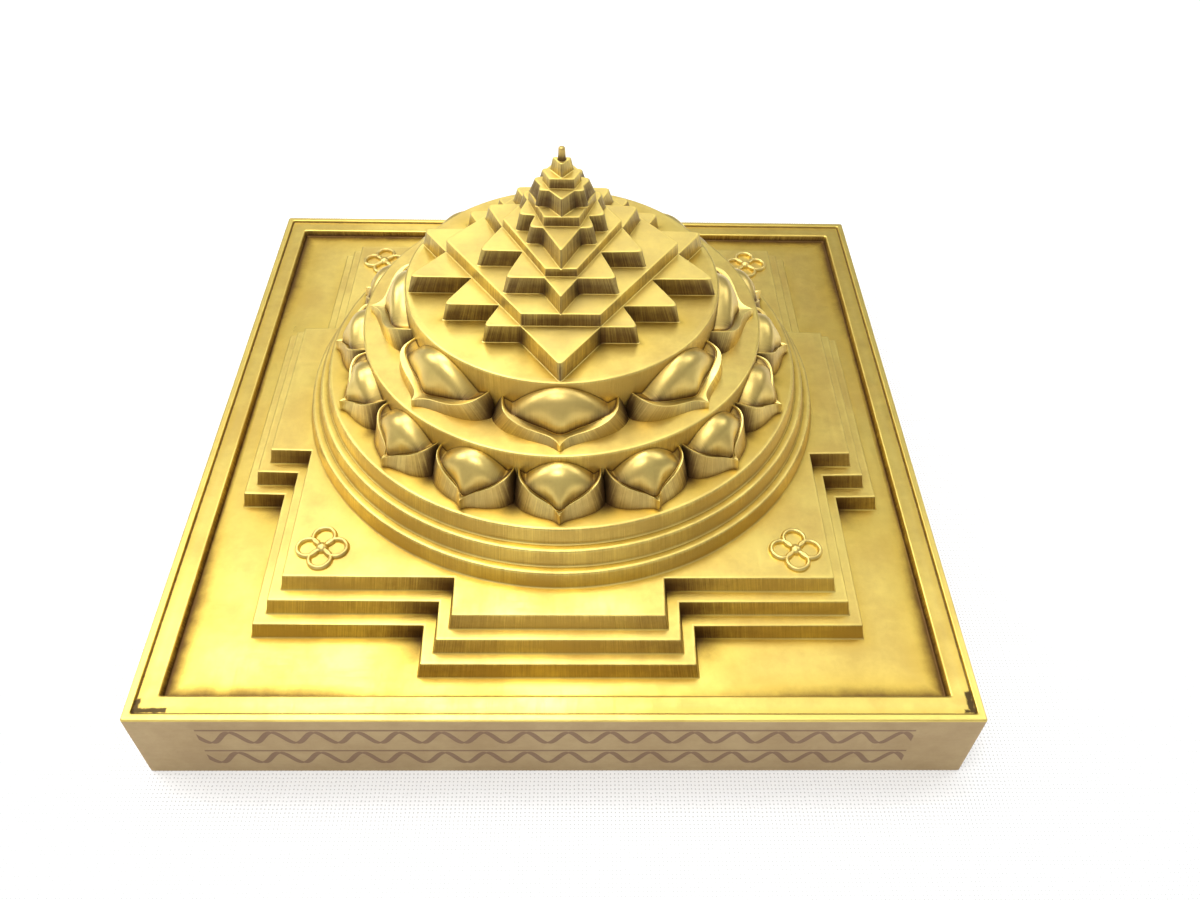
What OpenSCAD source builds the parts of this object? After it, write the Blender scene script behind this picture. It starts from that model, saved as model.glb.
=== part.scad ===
// Meru shri yantra: a stepped brass pyramid of a square base, three gated square tiers,
// three round girdles, two lotus rings and nine tiers of interlocking triangles.
// Z is up, the origin is the centre of the underside and the front faces -Y.

/* [Base plate] */
// Height of the base plate at its lip
base_h = 18.7; // [14:0.1:26]
// Width of the thin outer lip
lip_w = 1.4; // [1:0.1:3]
// Drop from the lip to the ledge
lip_drop = 0.5; // [0.3:0.1:1.2]
// Width of the ledge inside the lip
ledge_w = 3.8; // [2:0.1:8]
// Depth of the field below the ledge
field_drop = 1.65; // [0.8:0.05:3]
// Clear field between the rim and the lowest gates
field_w = 4.25; // [2:0.05:15]
// Rounding of the upright corners
corner_r = 0.8; // [0.4:0.1:1.3]

/* [Bhupura, the square tiers] */
// Height of each square tier
bhupura_h = 3.5; // [2.5:0.1:5]
// Tread from one square tier to the next
bhupura_tread = 2.85; // [1.5:0.05:5]
// Width of a gate on the upper tier
gate_w = 38; // [35:0.5:44]
// Reach of a gate beyond the side of its tier
gate_reach = 8.4; // [5:0.1:12]
// How far the lowest girdle runs out over the gates
girdle_reach = 2.55; // [1.5:0.05:3]
// Draft of the square and round steps, in degrees
step_draft = 10.5; // [2:0.5:14]

/* [Corner ornaments] */
// Distance of an ornament's centre from the sides of its corner
ornament_inset = 6.3; // [5.8:0.1:7]
// Radius of each ring of an ornament, at the middle of the wire
ring_r = 2; // [1.6:0.1:2.2]
// Distance of each ring's centre from the ornament's centre
ring_spread = 2.6; // [2.2:0.1:2.7]
// Width of the wire
wire_w = 1; // [0.7:0.1:1.3]
// Height of the wire
wire_h = 0.8; // [0.5:0.1:1.2]
// Radius of the bead in the middle
bead_r = 1.2; // [1:0.1:1.6]
// Diameter of the peg under the bead
ornament_peg_d = 1.4; // [1:0.1:1.8]
// Length of the peg under the bead
ornament_peg_len = 2; // [1.2:0.1:2.4]

/* [Girdles, the round steps] */
// Height of each girdle
girdle_h = 3.5; // [2.5:0.1:5]
// Tread from one girdle to the next
girdle_tread = 2.25; // [1.5:0.05:4]
// Tread of the top girdle in front of the petal tips
girdle_edge = 0.9; // [0.4:0.05:3]

/* [Outer lotus] */
// Height of the outer drum
outer_drum_h = 10.1; // [9.5:0.1:12]
// Reach of an outer petal's tip beyond its drum
outer_petal_len = 7.3; // [6.5:0.1:9]
// Reach of an outer petal's rounded shoulder beyond its drum
outer_shoulder_len = 5; // [4.6:0.1:5.4]
// Half width of an outer petal before its neighbours trim it
outer_petal_half_w = 8.1; // [7.5:0.1:9]
// Height of the lip at an outer petal's tip
outer_lip_h = 3.1; // [2.4:0.1:3.6]
// Half width of an outer petal's swell
outer_swell_half_w = 5.6; // [4.8:0.1:6]
// Depth and height radius of an outer petal's swell
outer_swell_r = 4.1; // [3.6:0.1:4.3]
// Distance of an outer petal's swell centre in front of the drum
outer_swell_out = 1; // [0.6:0.1:1.4]
// Drop from the drum's top to the swell's crown
outer_crown_drop = 1.15; // [0.5:0.05:1.5]
// Edge of the outer drum in front of the inner petal tips
outer_drum_edge = 1.25; // [0.5:0.05:3]

/* [Inner lotus] */
// Height of the inner drum, whose top is the plateau
inner_drum_h = 9.1; // [8.8:0.1:11]
// Reach of an inner petal's tip beyond its drum
inner_petal_len = 7.85; // [7:0.05:9]
// Reach of an inner petal's rounded shoulder beyond its drum
inner_shoulder_len = 5.8; // [5.4:0.1:6.2]
// Half width of an inner petal before its neighbours trim it
inner_petal_half_w = 11.2; // [10:0.1:12.5]
// Height of the lip at an inner petal's tip
inner_lip_h = 2.8; // [2.2:0.1:3.4]
// Half width of an inner petal's swell
inner_swell_half_w = 7.8; // [6.8:0.1:8.4]
// Depth and height radius of an inner petal's swell
inner_swell_r = 4.5; // [3.8:0.1:4.7]
// Distance of an inner petal's swell centre in front of the drum
inner_swell_out = 1.5; // [1:0.1:1.9]
// Drop from the plateau to the swell's crown
inner_crown_drop = 0.9; // [0.4:0.05:1.2]

/* [Petals] */
// Rise of a petal's lip towards the drum, per length
lip_slope = 0.5; // [0.3:0.05:0.6]
// Width of a petal's lip
lip_t = 0.7; // [0.5:0.05:1]
// Depth of the groove behind a petal's lip
groove_depth = 0.9; // [0.5:0.05:1.4]
// Diameter of the peg on a petal's back
petal_peg_d = 1.6; // [1.2:0.1:2.2]
// Length of the peg inside the drum
petal_peg_len = 2.5; // [1.5:0.1:3.5]
// Length of the peg inside the petal
petal_peg_root = 2; // [1.2:0.1:3]
// Height of the peg above a petal's foot
petal_peg_z = 3.6; // [2.4:0.1:4.4]

/* [Triangles] */
// Radius of the circle that the largest triangles reach
star_r = 30.4; // [29.6:0.1:31.4]
// Level of the third base line from the rear
line_3 = 10.6; // [10:0.1:11.2]
// Level of the seventh base line from the rear
line_7 = -5.55; // [-6.1:0.05:-5]
// Level of the ninth base line from the rear
line_9 = -19.8; // [-20.6:0.1:-19]
// Edge of the plateau in front of the star's circle
plateau_edge = 0.2; // [0.1:0.05:2]
// Inset of the fourteen-point star's sides from the lines of the figure
star_14_inset = 0.16; // [0:0.01:0.3]
// Inset of the sides of the other stars and of the innermost triangle
star_inset = 0.43; // [0.3:0.01:0.5]
// Inset of the sides of the hexagons
hexagon_inset = 0.6; // [0.3:0.01:0.7]
// Rounding of the tips
tip_r = 0.75; // [0.3:0.05:0.9]
// Height of the fourteen-point star
star_14_h = 3.65; // [3:0.05:5]
// Height of the first hexagon
hexagon_1_h = 2.7; // [2:0.05:4]
// Height of the outer ten-point star
star_10_outer_h = 3.3; // [2.6:0.05:4.5]
// Height of the second hexagon
hexagon_2_h = 1.7; // [1.5:0.05:3]
// Height of the inner ten-point star
star_10_inner_h = 3.35; // [2.6:0.05:4.5]
// Height of the third hexagon
hexagon_3_h = 1.9; // [1.5:0.05:3]
// Height of the eight-point star
star_8_h = 3.15; // [2.6:0.05:4.5]
// Height of the fourth hexagon
hexagon_4_h = 1.95; // [1.5:0.05:3]
// Height of the innermost triangle
trikona_h = 2.6; // [2:0.05:3.5]

/* [Bindu] */
// Height of the bindu
bindu_h = 2.5; // [2.2:0.1:4]
// Diameter of the bindu at its foot
bindu_foot_d = 2.1; // [1.9:0.05:2.3]
// Diameter of the bindu at its top
bindu_top_d = 1.5; // [1.4:0.05:1.8]

/* [Tie rod] */
// Diameter of the rod through the lower tiers
rod_d = 4; // [3:0.1:5]
// Diameter of the rod through the stars
rod_upper_d = 2; // [1.6:0.1:2.4]
// Diameter of the rod's tail under the bindu
rod_tail_d = 1; // [0.8:0.05:1.1]
// Length of the tail inside the bindu
rod_tail_len = 1.5; // [1:0.1:1.6]
// Length of the rod below the nut
rod_end_len = 0.8; // [0.4:0.1:1.5]
// Width of the nut across its flats
nut_af = 7; // [6:0.1:8]
// Height of the nut
nut_h = 3.2; // [2.4:0.1:4]
// Diameter of the washer
washer_d = 9; // [8:0.1:10]
// Thickness of the washer
washer_t = 0.8; // [0.5:0.1:1.2]
// Diameter of the recess for the nut and washer
recess_d = 12; // [11:0.1:16]
// Room below the rod's end in the recess
recess_room = 0.8; // [0.3:0.1:3]

/* [Registers] */
// Side of the square register under the broad tiers
broad_reg = 16; // [10:0.5:20]
// Side of the register under the outer ten-point star and the second hexagon
middle_reg = 8; // [6:0.1:9]
// Side of the register under the inner ten-point star and the third hexagon
inner_reg = 5; // [4.2:0.1:5.4]
// Side of the register under the eight-point star and the fourth hexagon
crown_reg = 3.2; // [2.9:0.1:3.5]
// Side of the register under the innermost triangle
trikona_reg = 1.7; // [1.55:0.05:1.75]
// Depth of the registers
reg_depth = 1; // [0.6:0.1:1.2]
// Clearance on each side of a register, peg or rod
fit_gap = 0.05; // [0.03:0.01:0.1]
// Clearance under a register or behind a peg
end_gap = 0.1; // [0.05:0.01:0.3]
// Clearance between a petal and its drum or its neighbours
petal_gap = 0.05; // [0.03:0.01:0.2]

/* [Hidden] */
$fn = 96;

brass = "#c2a14a";
polished_brass = "#d8bf74";
dark_brass = "#94783a";

// Overlap that lets a cut pass cleanly through a face
cut = 1;
// Count of petals in each ring
outer_count = 16;
inner_count = 8;
// Rings of an ornament, and steps across the half round of their wire
ring_count = 4;
wire_steps = 12;
// Steps of a petal's outline from its tip to its widest point
outline_steps = 11;
// Crowding of those steps towards the tip
outline_bias = 1.4;
// Steps of a rounded tip
tip_steps = 4;
// Distance of the outline's widest point behind the drum's wall
outline_back = 0.75;
// Length over which a petal's pointed tip dies away into its shoulder
tip_decay = 1.1;

// Radii from the plateau outwards
plateau_r = star_r + plateau_edge;
inner_tip_r = plateau_r + inner_petal_len;
outer_drum_r = inner_tip_r + outer_drum_edge;
outer_tip_r = outer_drum_r + outer_petal_len;
girdle_upper_r = outer_tip_r + girdle_edge;
girdle_middle_r = girdle_upper_r + girdle_tread;
girdle_lower_r = girdle_middle_r + girdle_tread;
girdle_out = girdle_h * tan(step_draft);
bhupura_out = bhupura_h * tan(step_draft);
bhupura_upper_half = girdle_lower_r + girdle_out - girdle_reach;
bhupura_middle_half = bhupura_upper_half + bhupura_tread;
bhupura_lower_half = bhupura_middle_half + bhupura_tread;
gate_upper_half = gate_w / 2;
gate_middle_half = gate_upper_half + bhupura_tread;
gate_lower_half = gate_middle_half + bhupura_tread;
field_out = field_drop * tan(step_draft);
ledge_half = bhupura_lower_half + gate_reach + bhupura_out + field_w + field_out;
lip_half = ledge_half + ledge_w;
base_half = lip_half + lip_w;

// Levels from the underside upwards
z_field = base_h - lip_drop - field_drop;
z_bhupura_lower = z_field + bhupura_h;
z_bhupura_middle = z_bhupura_lower + bhupura_h;
z_bhupura_upper = z_bhupura_middle + bhupura_h;
z_girdle_lower = z_bhupura_upper + girdle_h;
z_girdle_middle = z_girdle_lower + girdle_h;
z_girdle_upper = z_girdle_middle + girdle_h;
z_outer_drum = z_girdle_upper + outer_drum_h;
z_plateau = z_outer_drum + inner_drum_h;
tier_h = [
  star_14_h, hexagon_1_h, star_10_outer_h, hexagon_2_h, star_10_inner_h,
  hexagon_3_h, star_8_h, hexagon_4_h, trikona_h
];
function tier_foot(k) = k == 0 ? z_plateau : tier_foot(k - 1) + tier_h[k - 1];
z_crown = tier_foot(len(tier_h));

// Depth of the recess under the base plate
recess_depth = washer_t + nut_h + rod_end_len + recess_room;

// Plane geometry of lines, each held as a point and a direction
function through(p, q) = [p, q - p];
function level(y) = [[0, y], [1, 0]];
function meet(a, b) = a[0] + cross(b[0] - a[0], b[1]) / cross(a[1], b[1]) * a[1];
function unit(v) = v / norm(v);
function left_of(v) = [-v[1], v[0]];
function chord(y) = sqrt(star_r * star_r - y * y);

// The right sides of the nine triangles for a trial of base lines 1 and 6. Triangles d1 to d5
// point to the front and u6 to u9 to the rear, each named after its base line.
function triangles(y1, y6) =
  let (d3 = through([0, -star_r], [chord(line_3), line_3]))
  let (u7 = through([0, star_r], [chord(line_7), line_7]))
  let (u8 = through([0, y1], meet(d3, level(line_7))))
  let (d2 = through([0, line_9], meet(u7, level(line_3))))
  let (u9 = through([0, line_3], meet(d2, level(line_7))))
  let (y8 = meet(d3, u9)[1])
  let (d1 = through([0, y6], meet(u8, level(line_3))))
  let (y2 = meet(u7, d1)[1])
  let (u6 = through([0, y2], meet(d2, level(y6))))
  let (d4 = through([0, y8], meet(u9, level(y6))))
  let (y4 = meet(d4, u8)[1])
  let (y5 = meet(d4, u6)[1])
  let (d5 = through([0, line_7], meet(d4, u6)))
  [[0, d1, d2, d3, d4, d5, u6, u7, u8, u9], [0, y1, y2, line_3, y4, y5, y6, line_7, y8, line_9]];

// Misses of the two triple points that fix base lines 1 and 6
function misses(v) =
  let (t = triangles(v[0], v[1]))
  let (s = t[0])
  let (y = t[1])
  [meet(s[6], s[1])[1] - y[4], meet(s[1], s[9])[1] - y[5]];

// Newton steps that bring both misses to nothing
function closed_lines(v, steps) =
  steps == 0 ? v :
  let (f = misses(v))
  let (a = (misses(v + [slope_step, 0]) - f) / slope_step)
  let (b = (misses(v + [0, slope_step]) - f) / slope_step)
  closed_lines(v - [cross(f, b), cross(a, f)] / cross(a, b), steps - 1);

// First guess of base lines 1 and 6, as heights on the star's circle
first_lines = [22, -1];
newton_steps = 12;
// Step over which the slopes of the misses are taken
slope_step = 0.001;
lines_1_6 = closed_lines(first_lines, newton_steps);
figure = triangles(lines_1_6[0], lines_1_6[1]);
side = figure[0];
line_y = figure[1];
line = [for (y = line_y) level(y)];

// Crossings and corners on the right half, named by the triangles and lines that meet there
p1 = meet(side[3], line[9]);
p2 = meet(side[3], side[9]);
p3 = meet(side[3], line[7]);
p4 = meet(side[3], side[7]);
p5 = meet(side[7], line[3]);
p6 = meet(side[7], side[1]);
p7 = meet(side[7], line[1]);
q1 = meet(side[2], line[8]);
q2 = meet(side[2], line[7]);
q3 = meet(side[2], side[8]);
q4 = meet(side[8], line[3]);
q5 = meet(side[8], line[2]);
r1 = meet(side[4], line[7]);
r2 = meet(side[9], line[6]);
r3 = meet(side[4], side[6]);
r4 = meet(side[6], side[1]);
r5 = meet(side[6], line[3]);
s1 = meet(side[5], line[6]);
s2 = meet(side[5], side[9]);
s3 = meet(side[1], side[9]);
s4 = meet(side[9], line[4]);
corner_9 = meet(side[9], line[9]);
corner_8 = meet(side[8], line[8]);
corner_7 = [chord(line_7), line_7];
corner_6 = meet(side[2], line[6]);
corner_4 = meet(side[8], line[4]);
corner_3 = [chord(line_3), line_3];
corner_2 = meet(side[2], line[2]);
corner_1 = meet(side[1], line[1]);
function mid(i) = [0, line_y[i]];

// Right halves of the nine tier outlines, from the front to the rear
tier_halves = [
  [
    [0, -star_r], p1, corner_9, p2, corner_8, p3, corner_7, p4,
    corner_3, p5, corner_2, p6, corner_1, p7, [0, star_r]
  ],
  [p1, p4, p7],
  [mid(9), q1, p2, q2, p3, q3, p5, q4, p6, q5, mid(1)],
  [q1, q3, q5],
  [mid(8), r1, q2, r2, corner_6, r3, corner_4, r4, q4, r5, mid(2)],
  [r1, r3, r5],
  [mid(7), s1, r2, s2, r3, s3, r4, s4, mid(3)],
  [s1, s2, s4],
  [mid(6), s3]
];

// The rod and the bindu stand on the centre of the innermost triangle's inscribed circle
trikona_half = s3[0];
trikona_depth = line_y[5] - line_y[6];
trikona_in_r = trikona_half * trikona_depth / (trikona_half + norm([trikona_half, trikona_depth]));
rod_y = line_y[5] - trikona_in_r;

// Whole outline from its right half; points nearer the middle line than this aren't doubled
on_middle = 0.001;
function both_halves(h) =
  concat(h, [for (i = [len(h) - 1:-1:0]) if (h[i][0] > on_middle) [-h[i][0], h[i][1]]]);

// Outline with every side moved inwards
function inset_outline(p, d) =
  let (n = len(p))
  [
    for (i = [0:n - 1])
      let (u = unit(p[i] - p[(i + n - 1) % n]))
      let (w = unit(p[(i + 1) % n] - p[i]))
      meet([p[i] + d * left_of(u), u], [p[i] + d * left_of(w), w])
  ];

// Outline with an arc at every outward corner
function soft_outline(p, r) =
  let (n = len(p))
  [
    for (i = [0:n - 1])
      let (u = unit(p[i] - p[(i + n - 1) % n]))
      let (w = unit(p[(i + 1) % n] - p[i]))
      let (turn = atan2(cross(u, w), u * w))
      let (centre = p[i] + (left_of(u) + left_of(w)) * r / (1 + u * w))
      let (start = atan2(-u[0], u[1]))
      each turn <= 0 ? [p[i]] : [
        for (j = [0:tip_steps])
          let (a = start + turn * j / tip_steps)
          centre + r * [cos(a), sin(a)]
      ]
  ];

// Inset of tier k: stars and hexagons alternate, with the innermost triangle as the last star
function tier_inset(k) = k == 0 ? star_14_inset : k % 2 == 1 ? hexagon_inset : star_inset;

module square_post(s, z0, z1) {
  translate([-s / 2, rod_y - s / 2, z0]) cube([s, s, z1 - z0]);
}

module rod_hole(d, z0, z1) {
  translate([0, rod_y, z0 - cut]) cylinder(d = d + 2 * fit_gap, h = z1 - z0 + 2 * cut);
}

// A tier's solid gains the register below it and loses the pocket above it and the rod's hole
module registered(z0, z1, own_reg, next_reg, hole_d) {
  difference() {
    union() {
      children();
      square_post(own_reg, z0 - reg_depth, z0 + reg_depth / 2);
    }
    square_post(next_reg + 2 * fit_gap, z1 - reg_depth - end_gap, z1 + cut);
    rod_hole(hole_d, z0 - reg_depth, z1);
  }
}

// Block with half sizes at its top and sides that lean out by d towards its foot
module drafted_block(half_x, half_y, h, d) {
  intersection() {
    rotate([90, 0, 0])
      linear_extrude(height = 2 * (half_y + d + cut), center = true)
        polygon([[-half_x - d, 0], [half_x + d, 0], [half_x, h], [-half_x, h]]);
    rotate([90, 0, 90])
      linear_extrude(height = 2 * (half_x + d + cut), center = true)
        polygon([[-half_y - d, 0], [half_y + d, 0], [half_y, h], [-half_y, h]]);
  }
}

module round_cornered_block(half, r, h) {
  translate([-half, r - half, 0]) cube([2 * half, 2 * (half - r), h]);
  translate([r - half, -half, 0]) cube([2 * (half - r), 2 * half, h]);
  for (x = [-1, 1], y = [-1, 1]) {
    translate([x * (half - r), y * (half - r), 0]) cylinder(r = r, h = h);
  }
}

module base_plate() {
  color(brass) difference() {
    round_cornered_block(base_half, corner_r, base_h);
    translate([-lip_half, -lip_half, base_h - lip_drop])
      cube([2 * lip_half, 2 * lip_half, lip_drop + cut]);
    translate([0, 0, z_field + field_drop])
      mirror([0, 0, 1])
        drafted_block(ledge_half - field_out, ledge_half - field_out, field_drop, field_out);
    square_post(broad_reg + 2 * fit_gap, z_field - reg_depth - end_gap, z_field + cut);
    rod_hole(rod_d, 0, z_field);
    translate([0, rod_y, -cut]) cylinder(d = recess_d, h = recess_depth + cut);
  }
}

module square_tier(z0, half, gate_half) {
  translate([0, 0, z0]) {
    drafted_block(half, half, bhupura_h, bhupura_out);
    drafted_block(half + gate_reach, gate_half, bhupura_h, bhupura_out);
    drafted_block(gate_half, half + gate_reach, bhupura_h, bhupura_out);
  }
}

module bhupura_lower() {
  color(brass)
    registered(z_field, z_bhupura_lower, broad_reg, broad_reg, rod_d)
      square_tier(z_field, bhupura_lower_half, gate_lower_half);
}

module bhupura_middle() {
  color(brass)
    registered(z_bhupura_lower, z_bhupura_middle, broad_reg, broad_reg, rod_d)
      square_tier(z_bhupura_lower, bhupura_middle_half, gate_middle_half);
}

// Place of an ornament on the upper square tier
module at_corner(x, y) {
  ornament_place = bhupura_upper_half - ornament_inset;
  translate([x * ornament_place, y * ornament_place, z_bhupura_upper]) children();
}

module bhupura_upper() {
  color(brass) difference() {
    registered(z_bhupura_middle, z_bhupura_upper, broad_reg, broad_reg, rod_d)
      square_tier(z_bhupura_middle, bhupura_upper_half, gate_upper_half);
    for (x = [-1, 1], y = [-1, 1]) {
      at_corner(x, y)
        translate([0, 0, -ornament_peg_len - end_gap])
          cylinder(d = ornament_peg_d + 2 * fit_gap, h = ornament_peg_len + end_gap + cut);
    }
  }
}

// Four wire rings round a bead, with a flat underside and a peg
module ornament(x, y) {
  wire = [
    for (i = [0:wire_steps])
      let (a = 180 * i / wire_steps)
      [ring_r + wire_w / 2 * cos(a), wire_h * sin(a)]
  ];
  color(polished_brass) at_corner(x, y) {
    for (i = [0:ring_count - 1]) {
      rotate([0, 0, 360 * i / ring_count])
        translate([ring_spread, 0, 0]) rotate_extrude() polygon(wire);
    }
    intersection() {
      sphere(r = bead_r);
      cylinder(r = bead_r + cut, h = bead_r + cut);
    }
    translate([0, 0, -ornament_peg_len])
      cylinder(d = ornament_peg_d, h = ornament_peg_len + wire_h / 2);
  }
}

module ornament_front_left() { ornament(-1, -1); }
module ornament_front_right() { ornament(1, -1); }
module ornament_rear_left() { ornament(-1, 1); }
module ornament_rear_right() { ornament(1, 1); }

module round_tier(z0, r) {
  translate([0, 0, z0]) cylinder(r1 = r + girdle_out, r2 = r, h = girdle_h);
}

module girdle_lower() {
  color(brass)
    registered(z_bhupura_upper, z_girdle_lower, broad_reg, broad_reg, rod_d)
      round_tier(z_bhupura_upper, girdle_lower_r);
}

module girdle_middle() {
  color(brass)
    registered(z_girdle_lower, z_girdle_middle, broad_reg, broad_reg, rod_d)
      round_tier(z_girdle_lower, girdle_middle_r);
}

module girdle_upper() {
  color(brass)
    registered(z_girdle_middle, z_girdle_upper, broad_reg, broad_reg, rod_d)
      round_tier(z_girdle_middle, girdle_upper_r);
}

// Radial holes for the pegs of a ring of petals, the first at the front
module peg_holes(count, z0, r) {
  for (i = [0:count - 1]) {
    rotate([0, 0, 360 * i / count - 90])
      translate([r - petal_peg_len - end_gap, 0, z0 + petal_peg_z])
        rotate([0, 90, 0])
          cylinder(d = petal_peg_d + 2 * fit_gap, h = petal_peg_len + end_gap + cut);
  }
}

module outer_drum() {
  color(brass) difference() {
    registered(z_girdle_upper, z_outer_drum, broad_reg, broad_reg, rod_d)
      translate([0, 0, z_girdle_upper]) cylinder(r = outer_drum_r, h = outer_drum_h);
    peg_holes(outer_count, z_girdle_upper, outer_drum_r);
  }
}

module inner_drum() {
  color(brass) difference() {
    registered(z_outer_drum, z_plateau, broad_reg, broad_reg, rod_d)
      translate([0, 0, z_outer_drum]) cylinder(r = plateau_r, h = inner_drum_h);
    peg_holes(inner_count, z_outer_drum, plateau_r);
  }
}

// Plan of a petal with its tip along +X: a half ellipse whose front draws out to a point
function petal_outline(back, shoulder, half_w, tip) =
  let (spike = tip - back - shoulder)
  let (right = [
    for (i = [0:outline_steps])
      let (a = 90 * pow(i / outline_steps, outline_bias))
      [back + shoulder * cos(a) + spike * exp(-half_w * sin(a) / tip_decay), half_w * sin(a)]
  ])
  concat(right, [for (i = [outline_steps:-1:1]) [right[i][0], -right[i][1]]]);

// Space under a plane that rises from the tip towards the drum
module under_lip(back, tip, h, half_w) {
  rotate([90, 0, 0])
    linear_extrude(height = 2 * (half_w + cut), center = true)
      polygon([
        [back, 0], [tip + cut, 0], [tip + cut, h - lip_slope * cut],
        [back, h + lip_slope * (tip - back)]
      ]);
}

// Swell of a petal: a round arc turned about its chord, which lies crosswise
module swell(x, z, half_w, r) {
  arc_r = (half_w * half_w + r * r) / (2 * r);
  translate([x, 0, z]) rotate([90, 0, 0]) rotate_extrude() intersection() {
    translate([r - arc_r, 0]) circle(r = arc_r);
    translate([0, -half_w]) square([r, 2 * half_w]);
  }
}

// One petal with its tip along +X and its foot at level 0: a lipped wall, a swell and a peg
module petal(
  count, drum_r, drum_h, len, shoulder, half_w, lip_h, swell_half_w, swell_r, swell_out, drop
) {
  tip = drum_r + len;
  back = drum_r - outline_back;
  ellipse = shoulder + outline_back;
  top = drum_h + cut;
  difference() {
    union() {
      difference() {
        intersection() {
          linear_extrude(height = top) polygon(petal_outline(back, ellipse, half_w, tip));
          under_lip(back - cut, tip, lip_h, half_w);
        }
        difference() {
          linear_extrude(height = top)
            polygon(petal_outline(back, ellipse - lip_t, half_w - lip_t, tip - 2 * lip_t));
          under_lip(back - 2 * cut, tip, lip_h - groove_depth, half_w);
        }
      }
      intersection() {
        swell(drum_r + swell_out, drum_h - drop - swell_r, swell_half_w, swell_r);
        translate([back, -half_w, 0]) cube([len + outline_back, 2 * half_w, top]);
      }
    }
    translate([0, 0, -cut]) cylinder(r = drum_r + petal_gap, h = top + 2 * cut);
    for (m = [0, 1]) {
      mirror([0, m, 0])
        rotate([0, 0, 180 / count])
          translate([0, -petal_gap, -cut]) cube([tip + cut, half_w, top + 2 * cut]);
    }
  }
  translate([drum_r - petal_peg_len, 0, petal_peg_z])
    rotate([0, 90, 0]) cylinder(d = petal_peg_d, h = petal_peg_len + petal_peg_root);
}

module outer_petal(i) {
  color(polished_brass)
    rotate([0, 0, 360 * (i - 1) / outer_count - 90])
      translate([0, 0, z_girdle_upper])
        petal(
          outer_count, outer_drum_r, outer_drum_h, outer_petal_len, outer_shoulder_len,
          outer_petal_half_w, outer_lip_h, outer_swell_half_w, outer_swell_r, outer_swell_out,
          outer_crown_drop
        );
}

module inner_petal(i) {
  color(polished_brass)
    rotate([0, 0, 360 * (i - 1) / inner_count - 90])
      translate([0, 0, z_outer_drum])
        petal(
          inner_count, plateau_r, inner_drum_h, inner_petal_len, inner_shoulder_len,
          inner_petal_half_w, inner_lip_h, inner_swell_half_w, inner_swell_r, inner_swell_out,
          inner_crown_drop
        );
}

// Tier k of the triangles
module triangle_block(k) {
  outline = inset_outline(both_halves(tier_halves[k]), tier_inset(k));
  translate([0, 0, tier_foot(k)])
    linear_extrude(height = tier_h[k]) polygon(soft_outline(outline, tip_r));
}

module triangle_tier(k, own_reg, next_reg, hole_d) {
  color(brass)
    registered(tier_foot(k), tier_foot(k + 1), own_reg, next_reg, hole_d) triangle_block(k);
}

module star_14() { triangle_tier(0, broad_reg, broad_reg, rod_d); }
module hexagon_1() { triangle_tier(1, broad_reg, middle_reg, rod_d); }
module star_10_outer() { triangle_tier(2, middle_reg, middle_reg, rod_upper_d); }
module hexagon_2() { triangle_tier(3, middle_reg, inner_reg, rod_upper_d); }
module star_10_inner() { triangle_tier(4, inner_reg, inner_reg, rod_upper_d); }
module hexagon_3() { triangle_tier(5, inner_reg, crown_reg, rod_upper_d); }
module star_8() { triangle_tier(6, crown_reg, crown_reg, rod_upper_d); }
module hexagon_4() { triangle_tier(7, crown_reg, trikona_reg, rod_tail_d); }

module trikona() {
  color(brass) difference() {
    union() {
      triangle_block(8);
      square_post(trikona_reg, tier_foot(8) - reg_depth, tier_foot(8) + reg_depth / 2);
    }
    rod_hole(rod_tail_d, tier_foot(8) - reg_depth, z_crown);
  }
}

module bindu() {
  color(polished_brass) translate([0, rod_y, z_crown]) difference() {
    cylinder(d1 = bindu_foot_d, d2 = bindu_top_d, h = bindu_h);
    translate([0, 0, -cut])
      cylinder(d = rod_tail_d + 2 * fit_gap, h = rod_tail_len + end_gap + cut);
  }
}

// The rod steps in below the first star with a small hole and below the tail's tier
module tie_rod() {
  rod_z0 = recess_room;
  step_1 = tier_foot(2) - reg_depth - end_gap;
  step_2 = tier_foot(7) - reg_depth - end_gap;
  color(dark_brass) translate([0, rod_y, 0]) {
    translate([0, 0, rod_z0]) cylinder(d = rod_d, h = step_1 - rod_z0);
    translate([0, 0, rod_z0]) cylinder(d = rod_upper_d, h = step_2 - rod_z0);
    translate([0, 0, rod_z0]) cylinder(d = rod_tail_d, h = z_crown + rod_tail_len - rod_z0);
  }
}

module tie_washer() {
  color(dark_brass) translate([0, rod_y, recess_depth - washer_t]) difference() {
    cylinder(d = washer_d, h = washer_t);
    translate([0, 0, -cut]) cylinder(d = rod_d + 2 * fit_gap, h = washer_t + 2 * cut);
  }
}

module tie_nut() {
  color(dark_brass) translate([0, rod_y, recess_depth - washer_t - nut_h]) difference() {
    cylinder(d = nut_af / cos(30), h = nut_h, $fn = 6);
    translate([0, 0, -cut]) cylinder(d = rod_d + 2 * fit_gap, h = nut_h + 2 * cut);
  }
}

function two_digits(i) = str(i < 10 ? "0" : "", i);

base_plate();
bhupura_lower();
bhupura_middle();
bhupura_upper();
ornament_front_left();
ornament_front_right();
ornament_rear_left();
ornament_rear_right();
girdle_lower();
girdle_middle();
girdle_upper();
outer_drum();
for (i = [1:outer_count]) {
  outer_petal(i);
}
inner_drum();
for (i = [1:inner_count]) {
  inner_petal(i);
}
star_14();
hexagon_1();
star_10_outer();
hexagon_2();
star_10_inner();
hexagon_3();
star_8();
hexagon_4();
trikona();
bindu();
tie_rod();
tie_washer();
tie_nut();
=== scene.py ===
import functools
import math

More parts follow.
